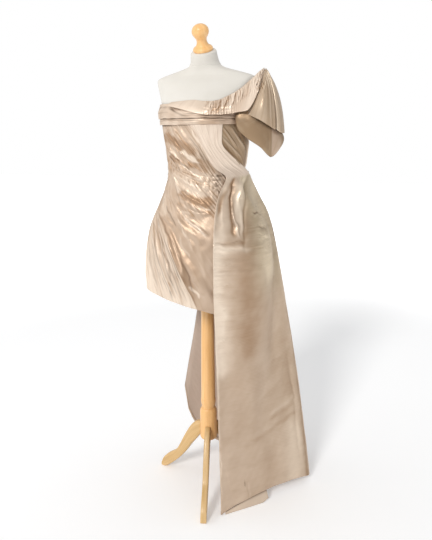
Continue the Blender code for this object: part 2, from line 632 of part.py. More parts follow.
for old in list(bpy.data.objects):
    bpy.data.objects.remove(old, do_unlink=True)
parts = bpy.data.collections.new("cocktail_dress_on_form")
bpy.context.scene.collection.children.link(parts)

build_form()
build_knob()
build_stand()
build_fitted_pieces()
build_side_drape()
build_train()
build_bands()
build_bertha()
build_sleeve()
for piece in parts.objects:
    piece.location.x += POLE_PLACE[0]
    piece.location.y += POLE_PLACE[1]
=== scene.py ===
from math import cos, pi, radians, sin

import bpy
import numpy as np
from mathutils import Matrix, Vector


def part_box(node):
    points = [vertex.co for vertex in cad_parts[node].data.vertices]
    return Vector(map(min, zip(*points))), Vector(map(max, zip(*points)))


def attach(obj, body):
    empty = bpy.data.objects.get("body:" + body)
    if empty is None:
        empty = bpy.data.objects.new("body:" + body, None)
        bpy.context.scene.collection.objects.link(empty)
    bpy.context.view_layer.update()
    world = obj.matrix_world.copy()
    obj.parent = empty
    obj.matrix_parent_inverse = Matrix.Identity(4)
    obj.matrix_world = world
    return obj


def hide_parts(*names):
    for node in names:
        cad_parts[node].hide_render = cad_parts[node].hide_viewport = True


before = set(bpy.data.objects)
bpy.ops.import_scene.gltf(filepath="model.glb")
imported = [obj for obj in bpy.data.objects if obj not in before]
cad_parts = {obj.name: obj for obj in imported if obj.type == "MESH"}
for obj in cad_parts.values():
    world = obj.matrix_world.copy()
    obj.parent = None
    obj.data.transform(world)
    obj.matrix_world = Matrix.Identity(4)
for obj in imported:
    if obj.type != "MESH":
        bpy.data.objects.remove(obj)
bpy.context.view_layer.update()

# Tripod stand: three cabriole legs sawn from beech board, let into a turned boss that carries the pole.
# All of it is honey-coloured beech under a clear satin varnish, and everything is measured from the pole.

pole_low, pole_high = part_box("pole")
POLE_X = (pole_low.x + pole_high.x) / 2
POLE_Y = (pole_low.y + pole_high.y) / 2
LEG_THICKNESS = 0.023
LEG_BEARINGS = (15.7, 135.7, -104.3)


def metres(table, keep=()):
    """A table written in millimetres, in metres; the columns to keep are bearings, angles and changes."""
    return np.array(table, float) / [1 if column in keep else 1000 for column in range(len(table[0]))]


# Side view of a leg: reach from the pole's axis, height
LEG_TOP_EDGE = metres((
    (34.1, 276), (60, 267), (83, 243), (103, 212), (122, 178), (142, 138), (161, 107), (184, 88), (210, 68),
    (232, 44), (243, 22), (246, 6),
))
LEG_UNDER_EDGE = metres((
    (34.1, 222), (60, 186), (82, 158), (105, 124), (130, 91), (157, 60), (184, 34), (207, 14), (222, 3), (230, 0),
    (238, 0), (243, 0),
))

# Turned profiles: height, radius
BOSS_PROFILE = metres((
    (211, 24), (212.5, 28.5), (215.5, 31.5), (222, 33.5), (240, 33.5), (310, 33.5), (326, 33.5), (334, 32.5),
    (340, 30.5), (345, 28),
))
POLE_PROFILE = metres((
    (345.3, 26.2), (352, 26.2), (360, 27.6), (372, 29.2), (383, 29), (396, 28), (515, 26.6), (700, 24.5), (884.7, 24),
))


def smooth_rows(rows, place):
    """Rows of a table at places from 0 (first row) to 1 (last row), on a cubic curve through all of them."""
    rows = np.asarray(rows, float)
    last = len(rows) - 1
    ends = np.vstack([2 * rows[0] - rows[1], rows, 2 * rows[-1] - rows[-2]])
    step = np.clip(np.asarray(place, float), 0.0, 1.0) * last
    index = np.minimum(step.astype(int), last - 1)
    part = (step - index)[..., None]
    before, start, end, after = (ends[index + k] for k in range(4))
    slope_start = (end - before) / 2
    slope_end = (after - start) / 2
    return ((2 * part ** 3 - 3 * part ** 2 + 1) * start + (part ** 3 - 2 * part ** 2 + part) * slope_start
            + (3 * part ** 2 - 2 * part ** 3) * end + (part ** 3 - part ** 2) * slope_end)


def shares(rows, columns):
    """Shares from 0 to 1 down the rows of a grid and across its columns."""
    return np.linspace(0, 1, rows)[:, None], np.linspace(0, 1, columns)[None, :]


def unit(vectors):
    """The vectors brought to length 1."""
    return vectors / np.linalg.norm(vectors, axis=-1, keepdims=True)


def hump(distance, width):
    """Bell curve: exp of minus the square of distance over width."""
    return np.exp(-(distance / width) ** 2)


def grid_uv(points):
    """Places on the unrolled surface in metres: mean lengths along the rows and along the columns."""
    steps_across = np.linalg.norm(np.diff(points, axis=1), axis=-1).mean(0)
    steps_down = np.linalg.norm(np.diff(points, axis=0), axis=-1).mean(1)
    across = np.concatenate([[0.0], np.cumsum(steps_across)])
    down = np.concatenate([[0.0], np.cumsum(steps_down)])
    return np.stack(np.meshgrid(across, -down), axis=-1)


def add_piece(name, points, material, nodes, ring=False, capped=False, wall=0.0, marks=None):
    """Mesh from a grid of points measured from the pole, whose faces turn their fronts to rows x columns.
    ring joins the last column to the first, capped closes both ends of a ring with a fan to their middle,
    wall thickens an open surface inwards, and marks are named values for the material at each point."""
    rows, columns = points.shape[:2]
    index = np.arange(rows * columns).reshape(rows, columns)
    uv = grid_uv(points).reshape(-1, 2)
    vertices = points.reshape(-1, 3)
    if ring:
        index = np.hstack([index, index[:, :1]])
    corners = (index[:-1, :-1], index[1:, :-1], index[1:, 1:], index[:-1, 1:])
    faces = np.stack(corners, axis=-1).reshape(-1, 4).tolist()
    if capped:
        count = len(vertices)
        vertices = np.vstack([vertices, points[0].mean(0), points[-1].mean(0)])
        uv = np.vstack([uv, uv[index[0, 0]], uv[index[-1, 0]]])
        faces += [(count, a, b) for a, b in zip(index[0, :-1].tolist(), index[0, 1:].tolist())]
        faces += [(count + 1, b, a) for a, b in zip(index[-1, :-1].tolist(), index[-1, 1:].tolist())]
    mesh = bpy.data.meshes.new(name)
    mesh.from_pydata((vertices + (POLE_X, POLE_Y, 0.0)).tolist(), [], faces)
    loop_vertex = np.empty(len(mesh.loops), np.int32)
    mesh.loops.foreach_get("vertex_index", loop_vertex)
    layer = mesh.uv_layers.new(name="UVMap")
    layer.uv.foreach_set("vector", uv[loop_vertex].astype(np.float32).ravel())
    for mark, values in (marks or {}).items():
        attribute = mesh.attributes.new(mark, "FLOAT", "POINT")
        attribute.data.foreach_set("value", np.asarray(values, np.float32).ravel())
    mesh.materials.append(material)
    mesh.shade_smooth()
    piece = bpy.data.objects.new(name, mesh)
    bpy.context.scene.collection.objects.link(piece)
    if wall:
        thickness = piece.modifiers.new("wall", "SOLIDIFY")
        thickness.thickness = wall
        thickness.offset = -1.0
    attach(piece, "root")
    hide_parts(*nodes)
    return piece


def plug(made, inputs):
    """Fills or links the inputs of a node, each called by its name, or by i and its number."""
    for key, value in inputs.items():
        socket = made.inputs[int(key[1:])] if key[0] == "i" and key[1:].isdigit() else made.inputs[key]
        if hasattr(value, "is_output"):
            made.id_data.links.new(value, socket)
        else:
            socket.default_value = value


def node_adder(tree):
    """A function that adds one node to the tree, with its settings and inputs."""
    def node(kind, settings=None, **inputs):
        made = tree.nodes.new(kind)
        for key, value in (settings or {}).items():
            setattr(made, key, value)
        plug(made, inputs)
        return made
    return node


def new_material(name):
    """Empty node material, its Principled shader, and the function that adds nodes to it."""
    material = bpy.data.materials.new(name)
    material.use_nodes = True
    return material, material.node_tree.nodes["Principled BSDF"], node_adder(material.node_tree)


def noise(node, vector, scale, detail, **more):
    """Noise over a vector."""
    return node("ShaderNodeTexNoise", Vector=vector, Scale=scale, Detail=detail, **more).outputs[0]


def stretched(node, vector, x, y):
    """A vector times x and y, for noise that is drawn out along one of them."""
    return node("ShaderNodeMapping", Vector=vector, Scale=(x, y, 1.0)).outputs[0]


def remap(node, value, low, high, new_low, new_high):
    """A value carried from one span over to another, and held at its ends."""
    return node("ShaderNodeMapRange", Value=value, i1=low, i2=high, i3=new_low, i4=new_high).outputs[0]


def bump_map(node, strength, distance, height, **more):
    """Normal tilted by the slope of a height."""
    return node("ShaderNodeBump", Strength=strength, Distance=distance, Height=height, **more).outputs[0]


def two_tone(node, value, first, second, low=0.0, high=1.0):
    """Colour that runs from the first to the second while the value runs from low to high."""
    ramp = node("ShaderNodeValToRGB", Fac=value)
    for element, place, tone in zip(ramp.color_ramp.elements, (low, high), (first, second)):
        element.position = place
        element.color = (*tone, 1.0)
    return ramp.outputs[0]


def beech(name, light, dark):
    """Beech: colour from light to dark along stretched noise for the grain, with short dark flecks."""
    material, shader, node = new_material(name)
    uv = node("ShaderNodeUVMap").outputs["UV"]
    along = stretched(node, uv, 70.0, 5.0)
    grain = noise(node, along, 1.0, 5.0, Distortion=0.6)
    short = stretched(node, uv, 900.0, 130.0)
    flecks = noise(node, short, 1.0, 2.0)
    marks = remap(node, flecks, 0.60, 0.70, 0.0, 0.35)
    brown = (*(0.55 * value for value in dark), 1.0)
    colour = node("ShaderNodeMix", {"data_type": "RGBA"}, i0=marks,
                  i6=two_tone(node, grain, dark, light, 0.30, 0.66), i7=brown)
    rough = remap(node, grain, 0.2, 0.8, 0.34, 0.46)
    bump = bump_map(node, 0.15, 0.0004, grain)
    plug(shader, {"Base Color": colour.outputs[2], "Roughness": rough, "Normal": bump, "Coat Weight": 0.25,
                  "Coat Roughness": 0.22})
    return material


def turned(profile, segments=72, steps=8):
    """Surface of a turned piece: rings whose height and radius follow a smooth curve through the profile."""
    rings = smooth_rows(profile[::-1], np.linspace(0, 1, (len(profile) - 1) * steps + 1))
    angle = np.linspace(0, 2 * pi, segments, endpoint=False)
    height = np.repeat(rings[:, :1], segments, axis=1)
    return np.stack([rings[:, 1:] * np.sin(angle), -rings[:, 1:] * np.cos(angle), height], axis=-1)


def leg(bearing):
    """Surface of a leg: rounded oblongs that span from the top edge to the under edge, all along it."""
    along = np.linspace(0, 1, 90)
    top = smooth_rows(LEG_TOP_EDGE, along)
    under = smooth_rows(LEG_UNDER_EDGE, along)
    angle = np.linspace(0, 2 * pi, 40, endpoint=False)
    squareness = 0.34   # power of the sine and cosine; 1 is an ellipse and 0 a square
    side = np.sign(np.cos(angle)) * np.abs(np.cos(angle)) ** squareness
    lift = np.sign(np.sin(angle)) * np.abs(np.sin(angle)) ** squareness
    middle = (top + under)[:, None] / 2
    half = (top - under)[:, None] / 2
    outline = middle + half * lift[None, :, None]
    aside = np.broadcast_to(side * LEG_THICKNESS / 2, outline.shape[:2])
    turn = radians(bearing)
    x = outline[..., 0] * sin(turn) + aside * cos(turn)
    y = -outline[..., 0] * cos(turn) + aside * sin(turn)
    return np.stack([x, y, outline[..., 1]], axis=-1)


leg_beech = beech("leg_beech", (0.70, 0.47, 0.22), (0.58, 0.36, 0.13))
turned_beech = beech("turned_beech", (0.93, 0.57, 0.25), (0.81, 0.44, 0.15))
for number, bearing in enumerate(LEG_BEARINGS, start=1):
    add_piece(f"beech_leg_{number}", leg(bearing), leg_beech, [f"leg_{number}"],
              ring=True, capped=True)
add_piece("turned_boss", turned(BOSS_PROFILE), turned_beech, ["boss"], ring=True, capped=True)
add_piece("turned_pole", turned(POLE_PROFILE), turned_beech, ["pole"], ring=True, capped=True)

# Dress form: a firm foam torso without limbs, under a tight off-white jersey cover that is seamed round the
# foot of the neck. It sits on the top of the pole.

NECK_SEAM = 1.6205       # height of the neck seam
NECK_SEAM_DEPTH = 0.0012
NECK_SEAM_WIDTH = 0.0022

# Rings of the form: height, centre y, half width, front depth, back depth, forward lean of the ring in degrees
FORM_RINGS = metres((
    (885, 0, 120, 88, 88, 0), (888, 0, 150, 106, 106, 0), (930, 0, 170, 122, 120, 0), (1000, 0, 174, 126, 122, 0),
    (1080, 0, 164, 122, 112, 0), (1160, 0, 148, 116, 100, 0), (1265, 0, 133.8, 106.2, 92.7, 0),
    (1300, 0, 135, 107.5, 92.8, 0), (1340, 0, 138, 112, 94, 0), (1410, 0, 148.5, 120.5, 100, 0),
    (1460, 0, 153.5, 117, 97, 0), (1500, 0, 158.5, 108.5, 92, 0), (1535, 1, 169, 86, 83, 0),
    (1562, 2, 177, 68, 68, 0), (1578, 4, 177, 55, 56, 0), (1588, 6, 158, 50, 52, 0), (1600, 7, 116, 48, 50, 0),
    (1610, 6, 80, 48, 50, 2), (1618, 4, 60, 48, 50, 5), (1630, 0, 50, 46, 48, 10), (1648, -7, 46, 43, 44, 18),
    (1661, -12, 44, 41, 42, 24), (1665.5, -14, 39, 36, 37, 24),
), keep=(5,))


def jersey():
    """Fine off-white jersey: wales as a wave round the form, a little mottling, and no gloss."""
    material, shader, node = new_material("jersey_cover")
    uv = node("ShaderNodeUVMap").outputs["UV"]
    wales = node("ShaderNodeTexWave", Vector=uv, Scale=260.0, Distortion=0.4, Detail=1.0).outputs[1]
    place = node("ShaderNodeTexCoord").outputs["Object"]
    mottle = noise(node, place, 9.0, 4.0)
    white = two_tone(node, mottle, (0.655, 0.625, 0.570), (0.710, 0.682, 0.632), 0.25, 0.75)
    bump = bump_map(node, 0.12, 0.0003, wales)
    plug(shader, {"Base Color": white, "Normal": bump, "Roughness": 0.9, "Sheen Weight": 0.15,
                  "Sheen Roughness": 0.5})
    return material


def form_surface(rows, segments):
    """Rings of two half ellipses, front and back, that lean forward up the neck; the seam is a fine groove."""
    ring = smooth_rows(FORM_RINGS[::-1], np.linspace(0, 1, rows))
    height, centre, width, front, back, lean = (ring[:, k, None] for k in range(6))
    groove = NECK_SEAM_DEPTH * hump(height - NECK_SEAM, NECK_SEAM_WIDTH)
    angle = np.linspace(0, 2 * pi, segments, endpoint=False)[None, :]
    depth = np.where(np.cos(angle) > 0, front, back) - groove
    x = (width - groove) * np.sin(angle)
    y = -depth * np.cos(angle)
    lean = np.radians(lean)
    return np.stack([x, centre + y * np.cos(lean), height + y * np.sin(lean)], axis=-1)


torso = add_piece("jersey_torso", form_surface(240, 112), jersey(), ["dress_form"],
                  ring=True, capped=True)

# Knob: a ball on a collar, turned in beech like the pole. It is screwed down on the plate that closes the neck,
# and leans forward with it.

NECK_LEAN = 24.0
NECK_TOP = (0.0, -0.0141, 1.6658)
KNOB_PROFILE = metres((
    (0, 31.8), (3, 33.4), (8, 33.5), (13, 30), (19, 21.5), (30, 17.2), (40, 18.5), (48, 24), (56, 27.8), (64, 28.5),
    (72, 26.2), (79, 20.5), (84, 12), (85.8, 4),
))
upright = turned(KNOB_PROFILE)
lean = radians(NECK_LEAN)
knob_points = np.stack([upright[..., 0], upright[..., 1] * cos(lean) - upright[..., 2] * sin(lean),
                        upright[..., 1] * sin(lean) + upright[..., 2] * cos(lean)], axis=-1) + NECK_TOP
add_piece("turned_knob", knob_points, turned_beech, ["neck_knob"], ring=True, capped=True)

# Draped front: one panel of champagne satin, cut long and caught into the side seams, so that it lies in
# diagonal folds over the ribs and belly and falls in steep ones to the hem. Lined, so its edges are turned in.

CLOTH = 0.0013           # wall of the satin
# shaded and lit tones of the satin, blush and olive: the painted light mark runs the cloth's colour between them
BLUSH_SHADED, BLUSH_LIT = (0.412, 0.254, 0.156, 1.0), (0.830, 0.695, 0.585, 1.0)
OLIVE_SHADED, OLIVE_LIT = (0.285, 0.198, 0.115, 1.0), (0.770, 0.650, 0.480, 1.0)
FRONT_TOP = 1.486
SIDE_SEAM = 89.0         # bearing of the side seams, in degrees from the front towards the wearer's left
SEAM_BEARING = 0.15      # half the gap at a seam, in degrees
TURNED_EDGE = (0.0016, 0.012)   # radius and run back of an edge that is turned under
# colour of the painted shade in deep folds and under edges
PAINTED_FOLD_SHADE = (0.115, 0.062, 0.034, 1.0)
RIDGES, FINE_RIDGES = 0.0150, 0.0093   # metres from one ridge of the drape to the next
KNOT_PLACE, KNOT_HEIGHT = 0.078, 1.232   # where the drape gathers at the waist: metres round the dress, height
STEEP_TOP = 1.140        # height below which the skirt's folds are steep
BAND_FOOT = 1.4235       # height of the bands' shadow on the front
PER_DEGREE = 0.0031      # metres round the dress for each degree of bearing

# Outer face of the fitted dress: height, half width, front depth, back depth
DRESS_SECTIONS = metres((
    (0, 180, 120, 130), (280, 205, 140, 150), (550, 222, 166, 165), (780, 233, 188, 170), (905, 232, 188, 168),
    (981, 228, 182, 160), (1040, 219, 172, 150), (1100, 199, 156, 135), (1157, 172, 137, 118), (1210, 150, 122, 105),
    (1265, 137, 110, 95), (1330, 142, 116, 98), (1410, 153, 126, 104), (1450, 157, 124, 102), (1500, 163, 112, 95),
    (1530, 172, 100, 88), (1560, 184, 87, 80), (1600, 200, 70, 65),
))

# Height of the skirt's hem: bearing, height
HEM_HEIGHTS = metres((
    (-180, 800), (-120, 812), (-80, 836), (-40, 841), (-14, 828), (10, 810), (25, 795), (60, 786), (120, 786),
    (180, 800),
), keep=(0,))

# Large folds: start bearing, start height, end bearing, end height, sideways bend, rise, half width
LARGE_FOLDS = metres((
    (-66, 1400, -8, 1245, -6, 6, 19), (-34, 1420, 4, 1300, -4, 5.5, 18), (-82, 1360, -22, 1215, -8, 6, 19),
    (-84, 1290, 22, 1205, -12, 7, 20), (-72, 1230, 16, 1110, -14, 8, 22), (-60, 1180, 18, 1030, -18, 6, 22),
    (-66, 1190, 6, 830, -40, 11, 26), (-74, 1150, -14, 840, -30, 9, 22), (-82, 1120, -34, 840, -26, 8, 22),
    (-86, 1060, -56, 840, -20, 8, 22), (-18, 1030, 22, 830, -12, 6, 22),
), keep=(0, 2))

# Creases: start bearing, start height, end bearing, end height, sideways bend, rise (a trough is below 0),
# width on the lower side, width on the upper side
FRONT_CREASES = metres((
    (-62, 1424, -10, 1336, 0, 4, 9, 4), (-56, 1404, -4, 1317, 10, 3.6, 8, 4), (-60, 1380, -2, 1277, 8, 4, 10, 4),
    (-62, 1356, 3, 1264, 11, 4, 8, 4), (-66, 1322, 16, 1241, 3, 4.6, 10, 4), (-20, 1424, 18, 1306, 6, 4.4, 8, 5),
    (-33, 1424, 10, 1317, 0, 4, 8, 4), (-44, 1424, -2, 1330, 4, 3.4, 6, 4), (-14, 1310, 20, 1258, 1, 3.8, 6, 3),
    (7, 1337, 26, 1264, -1, 3, 6, 3), (-49, 1299, 16, 1235, -1, 4.4, 7, 4), (-47, 1282, 26, 1180, -8, 4, 16, 6),
    (-27, 1221, 26, 1154, 5, 5, 8, 10), (-43, 1197, -11, 1128, -5, 4.6, 6, 9), (-55, 1154, -16, 1084, -3, 5, 6, 12),
    (-6, 1118, 20, 1062, -1, 4.4, 4, 7), (-36, 1245, -2, 1192, 4, 3.6, 8, 5), (9, 1258, 32, 1225, 3, 3, 4, 3),
    (-24, 1085, 6, 828, -7, 5.2, 16, 7), (-31, 1097, -5, 841, -18, 4.6, 6, 5), (-44, 1115, -15, 835, -22, 6, 6, 5),
    (-41, 1050, -22, 845, -9, 4.4, 5, 6), (-28, 1100, -1, 899, -20, 3.4, 5, 5), (4, 925, 14, 858, 0, 4, 3, 9),
    (-17, 1127, 6, 997, -13, 3.6, 5, 8), (-46, 950, -36, 856, 5, 4, 6, 5), (-31, 1037, -10, 838, -9, 4, 5, 5),
    (7, 1063, 17, 900, -4, 1.6, 10, 10), (-7, 1161, 23, 1135, 10, 3, 8, 6), (20, 1258, 36, 1267, 11, 3.6, 4, 3),
    (22, 1225, 36, 1241, 0, 3.4, 4, 3), (25, 1205, 34, 1192, -14, 3.4, 4, 3), (15, 1235, 32, 1212, 4, 3.4, 4, 3),
    (-88, 1300, -40, 1235, 4, 4, 8, 5), (-88, 1250, -34, 1170, 4, 4.4, 8, 5), (-88, 1210, -50, 1120, 4, 4.4, 7, 5),
    (-86, 1170, -58, 1050, 6, 4.6, 7, 6), (-84, 1130, -60, 930, 10, 5, 8, 6), (-88, 1060, -68, 845, 8, 4.4, 8, 6),
    (-76, 1040, -46, 842, 6, 4.8, 8, 6),
), keep=(0, 2))

# Painted highlights and shade: start bearing, start height, end bearing, end height, sideways bend, half width,
# change of the painted light
FRONT_PAINTED_LIGHT = metres((
    (-70, 1388, 8, 1324, -18, 18, -0.46), (-21, 1340, 7, 1308, 1, 9, 0.62), (-14, 1316, 10, 1296, -5, 5, 0.45),
    (-45, 1322, -18, 1296, -2, 10, -0.42), (-11, 1298, 23, 1268, -5, 11, -0.42), (2, 1312, 34, 1264, -7, 11, -0.34),
    (-42, 1348, -8, 1276, -1, 3, 0.4), (-2, 1414, 13, 1344, -2, 4, 0.45), (-18, 1292, 14, 1236, -3, 5, 0.45),
    (-44, 1262, 26, 1190, -4, 26, 0.26), (-8, 1244, 14, 1228, 0, 6, -0.3), (-41, 1266, -10, 1178, -2, 5, 0.25),
    (-24, 1206, 30, 1176, 14, 16, -0.48), (-20, 1170, 6, 1122, -1, 13, -0.38), (10, 1180, 32, 1120, 4, 14, -0.26),
    (-52, 1200, -30, 1120, 0, 20, 0.2), (13, 1157, 22, 1148, 1, 3, 0.6), (-14, 1148, 0, 1132, 0, 5, 0.34),
    (-8, 1120, 18, 1058, -6, 5, 0.4), (-14, 1118, -1, 1048, -3, 4, 0.35), (-10, 1066, 2, 982, 1, 4, 0.26),
    (3, 900, 11, 842, -1, 4, 0.6), (-42, 1102, -28, 1052, -3, 5, 0.3), (-86, 900, -62, 838, 0, 16, -0.42),
    (-60, 1100, -46, 900, 0, 30, -0.1),
), keep=(0, 2, 6))

# Deep lines of the front, in shade: the same places, half width, depth of the shade
FRONT_LINES = metres((
    (-48, 1348, 8, 1252, -1, 2.6, 0.42), (-48, 1328, -18, 1270, -4, 2.6, 0.38), (-32, 1392, -11, 1340, -1, 2.2, 0.26),
    (-5, 1388, 18, 1298, -4, 2.6, 0.38), (6, 1362, 23, 1284, -4, 2.4, 0.32), (22, 1264, 48, 1266, 9, 2.8, 0.62),
    (23, 1244, 40, 1250, 6, 2.6, 0.6), (29, 1224, 37, 1231, 3, 2.8, 0.55), (33, 1212, 36, 1186, -6, 2.4, 0.4),
    (-26, 1262, 27, 1186, -13, 2, 0.2), (-35, 1240, -10, 1152, -1, 2.4, 0.3), (-64, 1114, -14, 836, -51, 2.2, 0.28),
    (-56, 1132, -4, 876, -36, 2.6, 0.34), (-51, 1148, 7, 834, -43, 2.6, 0.42), (-38, 1158, -14, 1084, -7, 3, 0.38),
    (-54, 1062, -28, 884, -21, 2.2, 0.26), (-16, 872, -14, 828, 1, 3.6, 0.2),
), keep=(0, 2, 6))

# Where the skirt's steep folds end on their right, and how all folds run above and below it: height, bearing
FLOW_LINE = metres((
    (760, 14), (805, 9), (875, 2), (950, -7), (1055, -21), (1117, -40), (1250, -78), (1365, -110), (1500, -149),
), keep=(1,))

# Left edge of the side drape, under which the front lies flat: height, bearing
DRAPE_EDGE = metres((
    (1180, 90), (1230, 58), (1260, 47), (1282, 29), (1322, 19), (1360, 11.5), (1400, 3), (1436, -6), (1490, -20),
), keep=(1,))

# Painted highlights and shade of the steep folds: distance from that line and height, at both ends, bend, half width,
# change
STEEP_PAINTED_LIGHT = metres((
    (-46, 1140, -49, 985, 0, 9, -0.42), (-28, 1124, -30, 1010, 0, 5, -0.34), (-12, 1115, -12, 1030, 0, 6, -0.32),
    (-66, 1120, -64, 1000, 0, 4, -0.34), (-52, 905, -53, 836, 0, 5, -0.45), (0, 1060, 1, 800, 0, 3, -0.4),
), keep=(6,))

# Lines between the steep folds, in shade: the same places, half width, depth of the shade
STEEP_LINES = metres((
    (-10, 1060, -10, 850, 0, 3, 0.26), (-20, 1050, -21, 828, 0, 2.8, 0.32), (-32, 1080, -31, 828, 0, 3.4, 0.48),
    (-43, 1020, -42, 840, 0, 3, 0.4), (-63, 1070, -61, 832, 0, 3.4, 0.46), (-74, 1060, -71, 850, 0, 2.8, 0.34),
    (-92, 1050, -90, 845, 0, 3.2, 0.34), (-110, 1030, -108, 850, 0, 3.2, 0.28), (1, 1060, 1, 800, 0, 2.6, 0.3),
), keep=(6,))


def ease(value):
    """0 below 0, 1 above 1, and a smooth S between."""
    value = np.clip(value, 0.0, 1.0)
    return value * value * (3 - 2 * value)


def soft_noise(a, b, size, seed):
    """Ten sine waves with seeded headings, lengths about size and phases, summed: smooth, from about -1 to 1."""
    draw = np.random.default_rng(seed)
    total = 0.0
    for heading, length, phase in zip(draw.uniform(0, pi, 10), draw.uniform(0.6, 1.7, 10), draw.uniform(0, 6.3, 10)):
        total = total + np.sin((a * cos(heading) + b * sin(heading)) * 2 * pi / (size * length) + phase)
    return total / 4.5


def beside_line(across, up, start_x, start_z, end_x, end_z, bend):
    """Places along a bent line, 0 at its start and 1 at its end, and the distance on its right side."""
    run_x, run_z = end_x - start_x, end_z - start_z
    length = np.hypot(run_x, run_z)
    along = ((across - start_x) * run_x + (up - start_z) * run_z) / length ** 2
    aside = ((across - start_x) * run_z - (up - start_z) * run_x) / length
    return along, aside - 4 * bend * along * (1 - along)


def both_ends(along, share):
    """Fades in over that share of a line at its start, and out over it at its end."""
    return ease(along / share) * ease((1 - along) / share)


def ridge_lines(across, up, table):
    """Sum of creases: along each bent line the cloth rises to a soft edge, exp(-|distance| / width) with its
    tip rounded, with a width of its own on either side, and fades towards both ends of the line."""
    rise = np.zeros(np.broadcast(across, up).shape)
    for *line, peak, low_width, high_width in table:
        along, aside = beside_line(across, up, *line)
        width = np.where(aside > 0, low_width, high_width)
        rise = rise + peak * np.exp(-1.5 * (np.sqrt((aside / width) ** 2 + 0.06) - 0.245)) * both_ends(along, 0.25)
    return rise


def patches(across, up, table, firmness=4):
    """Sum of patches: each is as wide as its half width along a bent line, and tapers and fades to its ends;
    the higher its firmness, the crisper its edge."""
    total = np.zeros(np.broadcast(across, up).shape)
    for *line, half_width, amount in table:
        along, aside = beside_line(across, up, *line)
        taper = np.sqrt(np.clip(1 - (2 * along - 1) ** 2, 0, 1)) + 1e-6
        total = total + amount * both_ends(along, 0.16) * np.exp(-np.abs(aside / (half_width * taper)) ** firmness)
    return total


def on_bearings(table):
    """The creases of a table given in bearings, in metres round the dress."""
    return [(a * PER_DEGREE, b, c * PER_DEGREE, d, *rest) for a, b, c, d, *rest in table]


def large_folds(across, up):
    """The highest of the large folds at each place, each a bent line with a cosine section."""
    rise = np.zeros(np.broadcast(across, up).shape)
    for *line, peak, half_width in on_bearings(LARGE_FOLDS):
        along, aside = beside_line(across, up, *line)
        bump = 0.5 + 0.5 * np.cos(pi * np.clip(aside / half_width, -1, 1))
        rise = np.maximum(rise, peak * bump * both_ends(along, 0.22))
    return rise


def on_curve(table, value):
    """Second and later columns of a table where its first has the value, on a smooth curve."""
    return smooth_rows(table[:, 1:], np.interp(value, table[:, 0], np.linspace(0, 1, len(table))))


def dress_section(height):
    """Half width, front depth and back depth of the fitted dress at a height."""
    return np.moveaxis(on_curve(DRESS_SECTIONS, height), -1, 0)


def on_dress(bearing, height, rise=0.0):
    """Points on the fitted dress at a bearing and height, moved out by rise, and by the slack that the train's
    weight pulls into the left side under the arm."""
    slack = 0.010 * ease((bearing - 48) / 32) * ease((145 - bearing) / 45)
    rise = rise + slack * ease((height - 1.25) / 0.05) * ease((1.405 - height) / 0.05)
    bearing, height, rise = np.broadcast_arrays(np.radians(bearing), height, rise)
    width, front, back = dress_section(height)
    depth = np.where(np.cos(bearing) > 0, front, back)
    x, y = width * np.sin(bearing), -depth * np.cos(bearing)
    out_x, out_y = np.sin(bearing) / width, -np.cos(bearing) / depth
    length = np.hypot(out_x, out_y)
    return np.stack([x + rise * out_x / length, y + rise * out_y / length, height], axis=-1)


def hem_height(bearing):
    """Height of the skirt's hem at a bearing."""
    return on_curve(HEM_HEIGHTS, bearing)[..., 0]


def front_edge_bearing(height):
    """Bearing of the draped front's left edge: the side seam below, the side panel's seam above."""
    return SIDE_SEAM - 2 * SEAM_BEARING - 55.0 * ease((height - 1.225) / 0.135)


def surface_normals(points):
    """Unit normals of a grid of points, rows down and columns to the wearer's left: down x left."""
    return unit(np.cross(np.gradient(points, axis=0), np.gradient(points, axis=1)))


LIT_SIDE = np.array([-0.93, -0.30, 0.20])   # the side from which light is painted: relief that faces it is painted lighter, relief turned away darker


def turned_to_light(points, smooth):
    """How much more the detailed surface faces the lit side than the smooth one does, for the painted highlights and
    shade of its relief.
    """
    return (surface_normals(points) - surface_normals(smooth)) @ LIT_SIDE


def turn_under(points, radius, back):
    """Adds rows that turn the last row's edge under: half a circle of the given radius, then a run back."""
    edge, before = points[-1], points[-3]
    onward = unit(edge - before)
    outward = unit(np.cross(onward, np.gradient(edge, axis=0)))
    angle = np.linspace(0, pi, 7)[1:, None, None]
    curl = edge + radius * (np.sin(angle) * onward - (1 - np.cos(angle)) * outward)
    run = curl[-1:] - onward * back * np.array([0.5, 1.0])[:, None, None]
    return np.vstack([points, curl, run])


